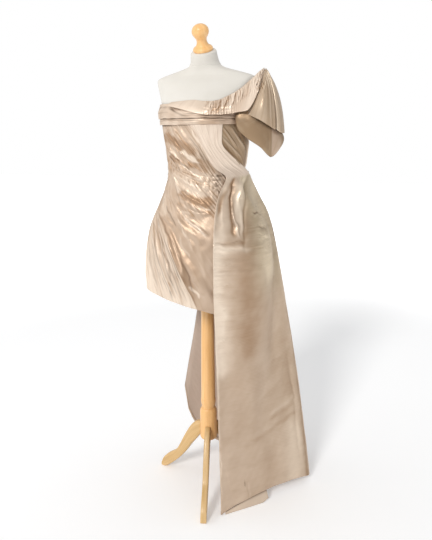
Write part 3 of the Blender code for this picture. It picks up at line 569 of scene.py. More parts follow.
def satin(name):
    """Champagne satin, with light and shade painted into its colour: the painted light mark, from 0 to 1, runs
    it from the shaded brown to the lit cream, olive shifts it from blush, and the shade mark paints shade into a deep
    fold. Fine folds run where streaks says: noise that is drawn out along a surface's flow paints their light and
    dark and bumps them. Slow noise, crumples and weft lines break it all up."""
    material, shader, node = new_material(name)

    def mark(attribute):
        return node("ShaderNodeAttribute", {"attribute_name": attribute}).outputs["Fac"]

    def blend(share, first, second):
        return node("ShaderNodeMix", {"data_type": "RGBA"}, i0=share, i6=first, i7=second).outputs[2]

    def total(first, second, **settings):
        return node("ShaderNodeMath", {"operation": "ADD", **settings}, i0=first, i1=second).outputs[0]

    uv = node("ShaderNodeUVMap").outputs["UV"]
    place = node("ShaderNodeTexCoord").outputs["Object"]
    flow = node("ShaderNodeCombineXYZ", X=mark("across"), Y=mark("along")).outputs[0]
    drawn = stretched(node, flow, 105.0, 9.0)
    wide = stretched(node, flow, 34.0, 5.0)
    # painted highlight and shade of the folds: broad light and dark bands, dark troughs and pale crests, as much as
    # streaks says
    bands = noise(node, wide, 1.0, 1.0)
    banded = remap(node, bands, 0.3, 0.7, -0.40, 0.40)
    folds = noise(node, drawn, 1.0, 2.5, Roughness=0.6)
    dark = remap(node, folds, 0.30, 0.47, -0.70, 0.0)
    pale = remap(node, folds, 0.56, 0.70, 0.0, 0.30)
    both = total(total(dark, pale), banded)
    streaked = node("ShaderNodeMath", {"operation": "MULTIPLY_ADD"}, i0=both, i1=mark("streaks"),
                    i2=mark("sheen")).outputs[0]
    slow = noise(node, place, 14.0, 3.0)
    uneven = remap(node, slow, 0.3, 0.7, -0.07, 0.07)
    lit = total(streaked, uneven, use_clamp=True)
    # the painted light mixes the shaded and lit tones, then the painted shade darkens the deep folds
    cloth = blend(mark("olive"), blend(lit, BLUSH_SHADED, BLUSH_LIT), blend(lit, OLIVE_SHADED, OLIVE_LIT))
    colour = blend(mark("shade"), cloth, PAINTED_FOLD_SHADE)
    crumple = noise(node, uv, 42.0, 5.0, Roughness=0.55)
    weft = node("ShaderNodeTexWave", {"bands_direction": "Y"}, Vector=uv, Scale=480.0, Distortion=1.0,
                Detail=1.0).outputs[1]
    rough = remap(node, crumple, 0.2, 0.8, 0.37, 0.47)
    lines = bump_map(node, mark("streaks"), 0.0030, folds)
    soft = bump_map(node, 0.18, 0.0020, crumple, Normal=lines)
    fine = bump_map(node, 0.04, 0.0002, weft, Normal=soft)
    plug(shader, {"Base Color": colour, "Roughness": rough, "Normal": fine, "Metallic": 0.40, "IOR": 1.50,
                  "Specular Tint": (1.0, 0.92, 0.82, 1.0), "Anisotropic": 0.3})
    return material


def lining():
    """Taupe lining inside the skirt and train: matte, with a faint crosswise weave."""
    material, shader, node = new_material("taupe_lining")
    uv = node("ShaderNodeUVMap").outputs["UV"]
    weave = noise(node, uv, 60.0, 4.0)
    taupe = two_tone(node, weave, (0.430, 0.330, 0.265), (0.520, 0.410, 0.335))
    bump = bump_map(node, 0.15, 0.0005, weave)
    plug(shader, {"Base Color": taupe, "Normal": bump, "Roughness": 0.7})
    return material


def front_surface(rows, columns):
    """Points on the fitted dress and their marks. The dress is raised by the large folds, the creases, fine
    ridges along the drape's flow that come and go, and small crumples that gather towards the waist's knot."""
    down, across = shares(rows, columns)
    lowest = hem_height(-SIDE_SEAM + 2 * SIDE_SEAM * across)
    height = FRONT_TOP + (lowest - FRONT_TOP) * down
    right = -SIDE_SEAM + 2 * SEAM_BEARING
    bearing = right + (front_edge_bearing(height) - right) * across
    metres_round = bearing * PER_DEGREE
    # distance across the flow lines
    flow = metres_round - on_curve(FLOW_LINE, height)[..., 0] * PER_DEGREE
    bent = flow + 0.005 * soft_noise(metres_round, height, 0.13, 3)
    comb = (0.5 + 0.5 * np.sin(2 * pi * bent / RIDGES)) ** 3
    finer = (0.5 + 0.5 * np.sin(2 * pi * bent / FINE_RIDGES + 1.7)) ** 3
    plain = 0.85 * ease(flow / 0.02) * ease((STEEP_TOP - height) / 0.05)
    comes_and_goes = np.clip(0.55 + 0.7 * soft_noise(flow * 3, height, 0.16, 5), 0, 1) * (1 - plain)
    fine = (0.0026 * comb + 0.0010 * finer) * comes_and_goes
    knot = hump(metres_round - KNOT_PLACE, 0.028) * hump(height - KNOT_HEIGHT, 0.030)
    crumple = 0.0004 * soft_noise(metres_round, height, 0.030, 7)
    crumple = crumple + 0.0024 * knot * soft_noise(metres_round, height, 0.018, 8)
    # all of it dies out under the bands, under the side drape and towards the seams
    shown = ease((1.440 - height) / 0.02) * ease((bearing - right) / 5)
    under_drape = ease((bearing - on_curve(DRAPE_EDGE, height)[..., 0] - 2) / 10)
    steep = ease((0.001 - flow) / 0.004) * ease((STEEP_TOP - height) / 0.03)
    field = ease((flow - 0.001) / 0.004) * ease((STEEP_TOP - height) / 0.03)
    creases = (1.3 - 0.6 * steep) * ridge_lines(metres_round, height, on_bearings(FRONT_CREASES))
    rise = (large_folds(metres_round, height) + creases + fine) * (1 - 0.9 * under_drape) + crumple
    # near the right side seam the folds are drawn flat
    rise = rise * shown * (1 - 0.88 * ease((-42 - bearing) / 30))
    points = on_dress(bearing, height, rise)
    facing = turned_to_light(points, on_dress(bearing, height, 0.0))
    warp_x = 0.005 * soft_noise(metres_round, height, 0.05, 61)
    warp_z = 0.005 * soft_noise(metres_round, height, 0.05, 62)
    # painted light: lighter on the steep folds, darker in the plain field, lighter where the relief faces the lit
    # side, and the painted highlights and shade of the tables
    sheen = 0.50 + (0.36 + 0.20 * ease((1.00 - height) / 0.14)) * steep - 0.15 * field
    sheen = sheen + (0.36 - 0.14 * steep) * facing
    sheen = sheen + patches(metres_round + warp_x, height + warp_z, on_bearings(FRONT_PAINTED_LIGHT))
    sheen = sheen + patches(flow + 0.2 * warp_x, height, STEEP_PAINTED_LIGHT, 2)
    streaks = (0.36 + 0.20 * steep - 0.28 * field) * (1 - under_drape) * ease((bearing - right) / 20)
    # painted shade below the bands' foot and along the deep lines
    shade = 0.75 * hump(height - BAND_FOOT, 0.0030) * ease((-24 - bearing) / 10)
    lines = patches(metres_round + 0.4 * warp_x, height + 0.4 * warp_z, on_bearings(FRONT_LINES), 2)
    shade = shade + 1.3 * lines + patches(flow + 0.2 * warp_x, height, STEEP_LINES, 2)
    return points, {"sheen": sheen, "across": flow, "along": height, "streaks": streaks, "shade": shade}


def marked(points, sheen, olive, **others):
    """Painted light, olive and what else is given at each point of a surface, repeated down the rows that turn its
    edge under; all but the flow's across and along are kept from 0 to 1."""
    rows, columns = points.shape[:2]
    values = {}
    for mark, value in dict(sheen=sheen, olive=olive, **others).items():
        value = np.broadcast_to(value, (np.shape(value)[0] if np.ndim(value) else rows, columns))
        value = np.vstack([value, np.repeat(value[-1:], rows - len(value), axis=0)])
        values[mark] = value if mark in ("across", "along") else np.clip(value, 0, 1)
    return values


satin_cloth = satin("champagne_satin_cloth")
taupe_lining = lining()


def satin_piece(name, nodes, surface, edge=None, lined=False, ring=False, **more):
    """Adds a piece of satin from its points and marks. edge is the radius and run back of its turned edge."""
    points, marks = surface
    if edge:
        points = turn_under(points, *edge)
    piece = add_piece(name, points, satin_cloth, nodes, ring=ring, wall=CLOTH,
                      marks=marked(points, **marks, **more))
    if lined:
        piece.data.materials.append(taupe_lining)
        piece.modifiers["wall"].material_offset = 1
    return piece


draped_front = satin_piece("satin_draped_front", ["draped_front"], front_surface(216, 205), TURNED_EDGE,
                           lined=True, olive=0.25)

# Side panel and the two back panels: plain satin, cut to the figure and seamed to the draped front, with
# nothing but the soft drag lines that a tight fit gives.

BACK_TOP = 1.480
PANEL_TOP, PANEL_HEIGHT = 1.500, 0.225

# Drag lines of the back, from the centre seam outwards: start bearing, start height, end bearing, end height,
# sideways bend, rise, width on either side
BACK_CREASES = metres((
    (176, 1420, 118, 1395, 4, 2.2, 9, 7), (172, 1350, 110, 1322, 4, 2.8, 9, 7), (178, 1305, 104, 1268, 6, 3.4, 10, 7),
    (174, 1262, 100, 1240, -4, 3.6, 9, 6), (178, 1226, 108, 1186, -6, 3.2, 10, 7),
    (168, 1190, 120, 1120, -6, 2.6, 10, 8), (104, 1150, 132, 960, 8, 3.4, 14, 10),
    (124, 1060, 142, 840, 6, 3.6, 14, 10), (150, 1040, 160, 830, 4, 3, 14, 10), (96, 1000, 112, 830, 6, 3.4, 14, 10),
    (168, 960, 174, 830, 2, 2.6, 12, 10),
), keep=(0, 2))


def back_surface(start, end, rows, columns):
    """Points on the back of the dress between two bearings, with the drag lines mirrored on either side."""
    down, across = shares(rows, columns)
    bearing = start + SEAM_BEARING + (end - start - 2 * SEAM_BEARING) * across
    height = BACK_TOP + (hem_height(bearing) - BACK_TOP) * down
    metres_round = np.abs(bearing) * PER_DEGREE
    uneven = 1 + 0.5 * soft_noise(bearing * PER_DEGREE, height, 0.3, 11)
    rise = ridge_lines(metres_round, height, on_bearings(BACK_CREASES)) * uneven
    inside = both_ends(across, 0.06)
    smooth = on_dress(bearing, height, 0.0)
    points = on_dress(bearing, height, rise * inside * ease((BACK_TOP - height) / 0.06))
    # painted light: lighter where the drag lines face the lit side, darker where they turn away
    sheen = 0.52 + 0.5 * turned_to_light(points, smooth) + 0.05 * soft_noise(metres_round, height, 0.2, 12)
    return points, {"sheen": sheen, "across": height - 0.35 * metres_round, "along": metres_round,
                    "streaks": 0.14 * inside}


# Folds of the side panel, which the swath pulls along with it: as for the back
SIDE_CREASES = metres((
    (36, 1425, 66, 1345, 0, 3, 6, 4), (36, 1392, 76, 1310, 2, 4, 6, 4), (36, 1372, 82, 1286, 0, -3.4, 4, 4),
    (36, 1362, 82, 1272, 0, 3, 4, 4), (48, 1425, 86, 1325, 0, 3.6, 6, 4), (64, 1400, 88, 1330, 0, -3, 4, 5),
), keep=(0, 2))


def side_surface(rows, columns):
    """Points on the fitted dress between the slanting edge of the draped front and the left side seam."""
    down, across = shares(rows, columns)
    height = PANEL_TOP - PANEL_HEIGHT * down
    start = front_edge_bearing(height) + 1.4
    bearing = start + (SIDE_SEAM - 2 * SEAM_BEARING - start) * across
    drag = ridge_lines(bearing * PER_DEGREE, height, on_bearings(SIDE_CREASES))
    points = on_dress(bearing, height, drag * ease((1.43 - height) / 0.02))
    across_flow = bearing * PER_DEGREE + 1.05 * height
    # painted shade towards the side seam, and painted light that is low on the panel, higher on the drag lines'
    # crests and lower in their troughs
    seam_shade = ease((bearing - 68) / 16) * ease((1.42 - height) / 0.03)
    seam_shade = seam_shade * (0.30 + 0.22 * soft_noise(across_flow * 3, height, 0.05, 58))
    return points, {"sheen": 0.11 + 60 * np.clip(drag, -0.003, 0.004), "across": across_flow, "along": height,
                    "streaks": 0.40, "shade": seam_shade}


back_left = satin_piece("satin_back_left", ["back_left"], back_surface(SIDE_SEAM, 180.0, 130, 70), TURNED_EDGE,
                        lined=True, olive=0.3)
back_right = satin_piece("satin_back_right", ["back_right"], back_surface(-180.0, -SIDE_SEAM, 130, 70), TURNED_EDGE,
                         lined=True, olive=0.3)
side_panel = satin_piece("satin_side_panel", ["side_panel"], side_surface(90, 60), olive=0.7)

# Side drape and train: a swath of satin comes from under the bands, crosses the ribs, is gathered at the left
# of the waist, and falls in two tube folds into a train that opens out to the floor. Its back width is joined
# on along the side corner, and the free edges are turned in by hand.

TRAIN_CLEAR = 0.0125
TRAIN_BENDS = (0.42, 0.58, 0.68, 0.88)
BACK_CORNER_CUT = 0.30
HEM_LIFT = 0.026
TAIL_STEEPNESS = 5
TRAIN_EDGE = (0.0016, 0.014)

# Side drape over the bodice: left bearing, left height, right bearing, right height
SIDE_DRAPE_ROWS = metres((
    (-6, 1436, 39, 1434), (3, 1400, 38.5, 1394), (11.5, 1360, 40, 1358), (19, 1322, 52, 1326), (29, 1282, 71, 1291),
    (47, 1260, 89, 1266),
), keep=(0, 2))

# Front edge and side corner of the train: front x, y, height, corner x, y, height, cut of the corner
TRAIN_FRONT_ROWS = metres((
    (110, -85, 1258, 154, 20, 1265, 26), (92, -135, 1183, 181, 66, 1194, 34), (89.5, -162, 1106, 225, 83, 1100, 38),
    (92.5, -182, 992, 253, 94, 980, 42), (97, -193, 856, 285, 105, 800, 44), (101, -190, 713, 318, 118, 600, 44),
    (107, -185, 485, 347, 129, 400, 42), (110, -179, 285, 370, 138, 220, 40), (116, -176.5, 6, 392, 147, 32, 36),
))

# Back and free tail edge of the train: back x, y, height, tail x, y, height
TRAIN_BACK_ROWS = metres((
    (105, 85, 1272, -38, 109, 1280), (125, 125, 1190, -52, 130, 1180), (145, 160, 1090, -70, 158, 1080),
    (162, 190, 970, -90, 186, 970), (185, 225, 800, -113, 216, 840), (212, 268, 610, -135, 240, 700),
    (240, 312, 410, -158, 242, 560), (265, 355, 210, -181, 234, 425), (290, 395, 2, -200, 225, 303),
))


def path_round_corners(points, cuts, breaks, place):
    """A path through four points with its two inner corners rounded by quadratic curves.
    cuts are the lengths taken off each corner, breaks the places where its five stretches meet."""
    front, corner, back, tail = points
    first = corner - cuts[0] * unit(corner - front)
    second = corner + cuts[0] * unit(back - corner)
    third = back - cuts[1] * unit(back - corner)
    fourth = back + cuts[1] * unit(tail - back)

    def bend(a, b, c, part):
        return (1 - part) ** 2 * a + 2 * part * (1 - part) * b + part ** 2 * c

    def run(a, b, part):
        return a + (b - a) * part

    part = [np.clip((place - low) / (high - low), 0, 1)[..., None]
            for low, high in zip((0.0,) + breaks, breaks + (1.0,))]
    stretch = np.digitize(place, breaks)[..., None]
    return np.select([stretch == k for k in range(5)],
                     [run(front, first, part[0]), bend(first, corner, second, part[1]),
                      run(second, third, part[2]), bend(third, back, fourth, part[3]),
                      run(fourth, tail, part[4])])


def outside_dress(points, rise):
    """Points moved out from the pole's axis where they would lie within rise of the fitted dress."""
    width, front, back = dress_section(points[..., 2])
    depth = np.where(points[..., 1] < 0, front, back)
    share = np.hypot(points[..., 0] / (width + rise), points[..., 1] / (depth + rise))
    wanted = (share + 1 + np.sqrt((share - 1) ** 2 + 0.004)) / 2
    scale = np.where(share > 1.25, 1.0, wanted / share)
    moved = points.copy()
    moved[..., 0] *= scale
    moved[..., 1] *= scale
    return moved


def train_surface(around, down):
    """Train at around (0 front edge, 0.5 side corner, 1 tail edge) and down (0 waist, 1 hem)."""
    front = smooth_rows(TRAIN_FRONT_ROWS, down)
    back = smooth_rows(TRAIN_BACK_ROWS, down)
    back_cut = BACK_CORNER_CUT * np.linalg.norm(back[..., 3:5] - back[..., 0:2], axis=-1, keepdims=True)
    guides = (front[..., 0:3], front[..., 3:6], back[..., 0:3], back[..., 3:6])
    points = path_round_corners(guides, (front[..., 6:7], back_cut), TRAIN_BENDS, around)
    # the hem lies on the floor behind and rises steeply to the tail; in front it lifts a little in the middle
    near_hem = ease((down - 0.6) / 0.4)
    low, high = back[..., 2], back[..., 5]
    to_tail = np.clip((points[..., 2] - low) / (high - low), 0, 1)
    steep = low + (high - low) * (1 - np.sqrt(1 - to_tail ** TAIL_STEEPNESS))
    lift = HEM_LIFT * np.sin(pi * np.clip(around / 0.5, 0, 1) ** 0.8)
    points[..., 2] = np.where(around > TRAIN_BENDS[2], points[..., 2] + (steep - points[..., 2]) * near_hem,
                              points[..., 2] + lift * near_hem)
    share = around / 0.5
    fade = ease(down / 0.06) * (1 - ease((down - 0.12) / 0.18))
    swing = ease((down - 0.02) / 0.20)
    tube = 0.009 * hump(share - 0.10 - 0.06 * swing, 0.12)
    tube = tube + 0.014 * hump(share - 0.33 - 0.15 * swing, 0.10)
    return outside_dress(points, TRAIN_CLEAR + tube * fade)


# Creases of the front width: distance from its front edge and height, at both ends, bend, rise, and widths on
# the lower or left side and on the upper or right side
TRAIN_CREASES = metres((
    (20, 1270, 34, 1050, 0, 1.6, 16, 14), (28, 1262, 74, 1045, -6, -7, 7, 6), (54, 1180, 88, 1050, -3, 3.6, 6, 4),
    (60, 1300, 104, 1045, -3, 5, 12, 10), (113, 1270, 112, 1000, 4, -6, 9, 12), (-20, 1046, 60, 1042, 2, -2.2, 3, 3),
    (40, 1041, 116, 1044, -1, -2.4, 3, 3), (-20, 1034, 118, 1029, 2, 2.4, 3, 7), (-10, 1016, 80, 1012, -2, 1.2, 4, 5),
    (-20, 968, 60, 974, 2, 2, 3, 4), (-20, 938, 40, 928, 0, 1.8, 3, 4), (-20, 905, 60, 899, 2, 1.8, 3, 4),
    (-20, 860, 40, 866, 0, 1.4, 3, 4), (-20, 820, 50, 815, 0, 1.6, 3, 5), (-20, 748, 30, 744, 0, 1.4, 3, 4),
    (4, 700, 50, 712, 3, 1.8, 3, 5), (140, 1140, 210, 1118, 3, -3.6, 3, 4), (150, 1126, 230, 1106, 2, 3, 3, 5),
    (150, 1158, 200, 1150, 1, -2, 3, 4), (160, 1090, 240, 1072, 2, -3, 4, 4), (150, 1070, 230, 1048, -2, 2.8, 4, 5),
    (170, 1046, 250, 1036, 0, -2.6, 3, 4), (200, 1012, 280, 1004, 1, -1.8, 3, 4), (190, 990, 270, 980, 0, 2, 4, 4),
    (240, 890, 330, 902, 0, 1.8, 4, 4), (215, 352, 370, 400, 6, 2.6, 10, 16), (235, 316, 385, 352, 5, 2.2, 9, 14),
    (120, 286, 262, 312, 6, 2, 9, 16), (150, 430, 330, 505, 6, 2, 10, 16), (200, 560, 380, 610, 6, 2.2, 14, 12),
    (352, 620, 372, 80, 0, -3.4, 12, 16), (118, 110, 128, 30, 0, -1.6, 2, 3),
))

# Painted highlights and shade of the front width: the same places, half width, change
TRAIN_PAINTED_LIGHT = metres((
    (26, 1245, 34, 1035, 0, 20, 0.36), (40, 1280, 10, 1120, 4, 10, -0.55), (30, 1262, 76, 1045, -6, 9, -0.62),
    (64, 1320, 104, 1040, -3, 19, 0.52), (60, 1160, 88, 1045, -3, 4, 0.35), (113, 1290, 113, 1030, 0, 13, -0.34),
    (138, 1200, 130, 560, 0, 56, -0.28), (-50, 1024, 150, 1018, 0, 13, 0.42), (-20, 1042, 125, 1040, 1, 6, -0.18),
    (6, 1110, 12, 700, 0, 40, 0.56), (18, 840, 22, 540, 0, 40, 0.52), (2, 1300, 2, -20, 0, 4.5, 0.4),
    (175, 1260, 240, 860, 0, 66, 0.36), (145, 1140, 215, 1116, 3, 4, -0.45), (170, 1086, 250, 1060, 0, 10, -0.28),
    (310, 700, 350, 380, 0, 60, -0.1), (220, 338, 370, 380, 6, 9, -0.14), (220, 362, 370, 408, 6, 10, 0.1),
    (240, 304, 380, 338, 5, 8, -0.11), (120, 274, 262, 300, 6, 8, -0.09), (340, 340, 350, -20, 0, 55, 0.3),
    (405, 700, 412, -50, 0, 16, -0.4), (50, 320, 60, -60, 0, 80, 0.07),
), keep=(6,))

# Deep lines of the front width, in shade: the same places, half width, depth of the shade
TRAIN_LINES = metres((
    (30, 1255, 76, 1055, -6, 4, 0.46), (58, 1160, 92, 1050, -3, 2.6, 0.35), (4, 1043, 50, 1042, 2, 2.4, 0.2),
    (50, 1041, 100, 1044, -2, 2.4, 0.2), (150, 1138, 190, 1122, 3, 2.6, 0.62), (165, 1150, 195, 1146, 0, 2, 0.3),
    (180, 1084, 235, 1072, 3, 2.4, 0.34), (165, 1060, 215, 1052, 0, 2.2, 0.3), (104, 118, 108, 90, 0, 1.4, 0.6),
), keep=(6,))

# Lines of the swath: share of its width and of its length, at both ends, bend, rise, widths
SWATH_CREASES = (
    (0.06, 0, 0.12, 0.8, 0.01, 0.0016, 0.03, 0.012), (0.2, 0, 0.24, 0.7, 0.01, 0.001, 0.026, 0.016),
    (0.36, 0.15, 0.33, 1, 0.006, 0.0014, 0.03, 0.016), (0.5, 0, 0.47, 0.6, 0.006, 0.001, 0.03, 0.016),
    (0.64, 0.2, 0.6, 1, 0.004, 0.0014, 0.034, 0.016), (0.82, 0, 0.78, 0.9, 0.004, 0.0018, 0.04, 0.018),
)


def swath_and_front(rows_above, rows_below, columns):
    """The swath's rows over the front width's, which share their columns, with the bend at the waist eased
    by averaging neighbouring rows there."""
    down, across = shares(rows_above, columns)
    rows = smooth_rows(SIDE_DRAPE_ROWS, down[:, 0])[:, None, :]
    bearing = rows[..., 0] + (rows[..., 2] - rows[..., 0]) * across
    height = rows[..., 1] + (rows[..., 3] - rows[..., 1]) * across
    lines = ridge_lines(across, down, SWATH_CREASES) * ease(down / 0.08)
    stand = 0.0012 + 0.0030 * ease(across / 0.12) + 0.009 * across * down + 0.004 * ease((down - 0.75) / 0.25)
    upper = on_dress(bearing, height, stand + lines)
    waist = train_surface(0.4987 * across, np.zeros_like(across))
    upper = upper + (waist - upper[-1:]) * ease((down - 0.45) / 0.55)[..., None]
    falls = (np.linspace(0, 1, rows_below) ** 1.1)[1:, None]
    lower = train_surface(*np.broadcast_arrays(0.4987 * across, falls))
    points = np.vstack([upper, lower])
    for _ in range(50):
        eased = points.copy()
        eased[1:-1] = (points[:-2] + 2 * points[1:-1] + points[2:]) / 4
        near = np.exp(-((np.arange(len(points)) - rows_above) / 11.0) ** 2)[:, None, None]
        points = points + (eased - points) * near
    return points


def train_details(points, rows_above):
    """Points raised along their normals by creases and a slow unevenness, and the painted highlights and shade that
    go with them.
    """
    lengths = np.linalg.norm(np.diff(points, axis=1), axis=-1)
    across = np.hstack([np.zeros((len(points), 1)), np.cumsum(lengths, axis=1)])
    height = points[..., 2]
    falls = ease((np.arange(len(points))[:, None] - rows_above) / 8)
    warp = 0.004 * soft_noise(across, height, 0.06, 35)
    creases = ridge_lines(across + warp, height + warp, TRAIN_CREASES)
    uneven = 0.0016 * soft_noise(across, height, 0.13, 31) + 0.0005 * soft_noise(across, height * 2.5, 0.05, 33)
    raised = points + surface_normals(points) * ((creases + uneven) * falls)[..., None]
    facing = turned_to_light(raised, points)
    rows, columns = points.shape[:2]
    share = np.linspace(0, 1, columns)[None, :] * np.ones((rows, 1))
    part = np.arange(rows)[:, None] / rows_above * np.ones((1, columns))
    # painted light: the swath pale, the train from its table of painted highlights and shade and paler near the
    # waist, all lighter where the relief faces the lit side
    swath = 0.90 + 0.10 * soft_noise(share * 2.2, height * 0.05, 0.09, 39)
    train = 0.38 + patches(across + warp, height + warp, TRAIN_PAINTED_LIGHT, 2) + 0.35 * ease((height - 1.17) / 0.08)
    sheen = swath + (train - swath) * falls + 0.6 * facing
    # the swath's fine folds run along it, the train's across it: at its front edge and beside the tube folds
    at_edge = hump(across, 0.06) * ease((height - 0.62) / 0.1) * ease((1.05 - height) / 0.04)
    beside = hump(across - 0.20, 0.06) * hump(height - 1.07, 0.08)
    streaks = np.where(part < 1, 0.26 * ease((0.95 - part) / 0.2), (0.05 + 0.22 * at_edge + 0.42 * beside) * falls)
    flow_across = np.where(part < 1, share * 0.16 + 0.05 * part, height + 0.3 * warp)
    flow_along = np.where(part < 1, part * 0.2, across)
    lines = patches(across + warp, height + warp, TRAIN_LINES, 2)
    olive = 0.1 + (0.20 + 0.15 * share + 0.75 * ease((share - 0.25) / 0.3) * ease((height - 0.75) / 0.25)) * falls
    return raised, {"sheen": sheen, "olive": olive, "across": flow_across, "along": flow_along,
                    "streaks": streaks, "shade": lines * falls}


train_front = satin_piece("satin_swath_and_train_front", ["side_drape", "train_front"],
                          train_details(swath_and_front(60, 250, 110), 60), TRAIN_EDGE, lined=True)

# Folds of the back width, from the waist down: distance from the side corner and distance below the waist, at
# both ends, bend, rise, widths on either side
TRAIN_FOLDS = metres((
    (60, -10, 90, -520, 10, 8, 16, 14), (120, -10, 170, -620, 8, 9, 18, 14), (180, -10, 260, -560, 6, 8, 16, 14),
    (230, -10, 340, -460, 6, 7, 14, 12), (0, -265, 480, -262, 1, 1.6, 6, 8), (0, -470, 520, -462, 0, 1.4, 6, 12),
))


def back_width(rows, columns):
    """The train from the side corner to the tail, with folds that fall from the waist and die out."""
    around = np.linspace(0.5013, 1.0, columns)[None, :]
    down = (np.linspace(0, 1, rows) ** 1.1)[:, None]
    points = train_surface(*np.broadcast_arrays(around, down))
    lengths = np.linalg.norm(np.diff(points, axis=1), axis=-1)
    across = np.hstack([np.zeros((rows, 1)), np.cumsum(lengths, axis=1)])
    steps = np.linalg.norm(np.diff(points, axis=0), axis=-1).mean(1)
    up = -np.concatenate([[0.0], np.cumsum(steps)])[:, None]
    rise = ridge_lines(across, up, TRAIN_FOLDS) + 0.0014 * soft_noise(across, up, 0.14, 37)
    inside = ease(across / 0.03) * ease(-up / 0.02)
    raised = points + surface_normals(points) * (rise * inside)[..., None]
    sheen = 0.50 + 0.5 * turned_to_light(raised, points) + 0.10 * soft_noise(across, up, 0.3, 38)
    return raised, {"sheen": sheen, "across": up, "along": across, "streaks": 0.10}


train_back = satin_piece("satin_train_back", ["train_back"], back_width(150, 104), TRAIN_EDGE, lined=True, olive=0.3)

# Turned hem: the end of the train's front width, in the same satin. The width is a little too long, so its hem is
# turned under by hand and lies spread on the floor.

HEM_TURN = (0.02, 0.22)
HEM_OUT = (0.0109, -0.0088)


def hem_surface(rows, columns):
    """Points and marks: straight lines from the front width's hem down and outwards to the floor, whose left end
    curls up, in shade under the hem."""
    down, across = shares(rows, columns)
    along = across[0]
    turned_at = HEM_TURN[0] + (HEM_TURN[1] - HEM_TURN[0]) * along
    fold = train_surface(turned_at, np.ones(columns)) - np.array([0, 0, 0.00104])
    floor = np.column_stack([fold[:, :2] + np.array(HEM_OUT) * along[:, None],
                             0.0019 + 0.012 * ease((along - 0.85) / 0.15)])
    floor[:, 2] = np.minimum(floor[:, 2], fold[:, 2] - 0.0006)
    points = fold[None] + (floor - fold)[None] * down[..., None]
    return points, {"sheen": 0.66, "olive": 0.3, "shade": 0.7 * hump(down, 0.16)}


turned_hem = satin_piece("satin_turned_hem", ["turned_hem"], hem_surface(12, 60))

# Bands: two pressed tucks of satin across the bust, the upper lapping over the lower. Each is folded along
# its lower edge, which stands off the bodice.

BAND_EDGE = (0.0015, 0.012)
BAND_LIFT = 0.0019       # how far the bands' tops stand off the bodice

# Start and end bearing, bottom and top height, rise of the lower edge
BANDS = {
    "band_lower": (-95.0, 62.0, 1.4265, 1.4560, 0.0080),
    "band_upper": (-93.0, 58.0, 1.4470, 1.4940, 0.0115),
}

# Tucked lines across the bands, in shade: distance round the dress and height, at both ends, bend, half width, shade
BAND_LINES = metres((
    (-30, 1461, 110, 1457, 0.6, 1.6, 0.42), (20, 1467, 130, 1465, 0.4, 1.5, 0.36),
    (-120, 1440.5, 60, 1437.5, 0.4, 1.5, 0.5), (70, 1436, 150, 1438.5, 0, 1.4, 0.4),
    (-250, 1438, -80, 1439.5, 0.6, 1.4, 0.34), (-220, 1464, -90, 1466, 0, 1.5, 0.3),
), keep=(6,))


def band_surface(name, rows, columns):
    """Points that lean out from the bodice down to the folded edge, which wavers by a millimetre."""
    start, end, low, high, rise = BANDS[name]
    part = shares(rows, columns)[0]
    bearing = np.linspace(start, end, columns)[None, :]
    covered = 0.008 * ease((bearing + 36.0) / 14.0) if name == "band_upper" else 0.0
    waver = 0.0009 * soft_noise(bearing * PER_DEGREE, 0, 0.07, len(name) + int(rise * 1e4))
    height = high - covered + (low + waver - high + covered) * part
    lift = BAND_LIFT + (rise - BAND_LIFT) * ease(part * 1.6)
    lines = 0.0007 * soft_noise(bearing * PER_DEGREE * 0.25, height, 0.012, 41) * np.sin(pi * part)
    points = on_dress(bearing, height, lift + lines)
    metres_round = bearing * PER_DEGREE
    # the bertha and the upper band shade the cloth just below their edges, most where they stand off
    edge = 1.4835 - 0.030 * ease((bearing + 40) / 36) if name == "band_upper" else 1.4470
    shade = 0.80 * hump(height - edge + 0.001, 0.0034)
    shade = shade * (0.55 + 0.45 * soft_noise(metres_round, 0, 0.06, 43))
    shade = shade + patches(metres_round, height, BAND_LINES, 2)
    # the wearer's left half of each band is painted darker, as in shade
    shaded_left_half = 0.34 * ease((bearing - 2) / 12)
    return points, {"sheen": 0.70 - shaded_left_half + 0.08 * soft_noise(metres_round, height, 0.05, 42), "shade": shade,
                    "across": height + 0.04 * soft_noise(metres_round, 0, 0.3, 44), "along": metres_round,
                    "streaks": 0.28 * np.sin(pi * part)}


for name, (_, _, low, high, _) in BANDS.items():
    band = satin_piece(f"satin_{name}", [name], band_surface(name, 26, 200), BAND_EDGE, olive=0.2)

# Bertha: a flap gathered along the neckline, from the right bust over the left shoulder and on down the back,
# where it ends plain. Its folded lower edge stands off the bands and throws a shadow on them.

FOLDED_EDGE = (0.0015, 0.010)
BERTHA_MIDDLE = (0.0, 0.0, 1.44)   # its relief rises straight away from here

# Upper edge and lower edge, each x, y, height
BERTHA_ROWS = metres((
    (-84, -97, 1498.5, -89, -112, 1487), (-45, -106.2, 1501, -47, -127, 1478), (0, -109, 1503, 0, -137, 1466),
    (39, -107.5, 1499, 42, -136, 1458), (77, -99, 1500, 81, -127, 1456), (112, -79, 1516, 122, -114, 1459),
    (144, -56, 1538, 158, -103, 1465), (174, -32, 1568, 186, -102, 1472), (196, -16, 1592, 204, -78, 1512),
    (209, -1.2, 1605, 206, -50, 1552),
))
BERTHA_BACK_ROWS = metres((
    (209, 1.2, 1605, 206, 36, 1552), (196, 22, 1586, 196, 64, 1512), (166, 36, 1548, 166, 74, 1474),
    (121, 67, 1516, 122, 88, 1456), (69, 89, 1500, 70, 106, 1450), (14, 98, 1492, 14, 113, 1450),
    (-42, 96, 1489, -42, 109, 1450), (-93, 82, 1488, -94, 92, 1455),
))

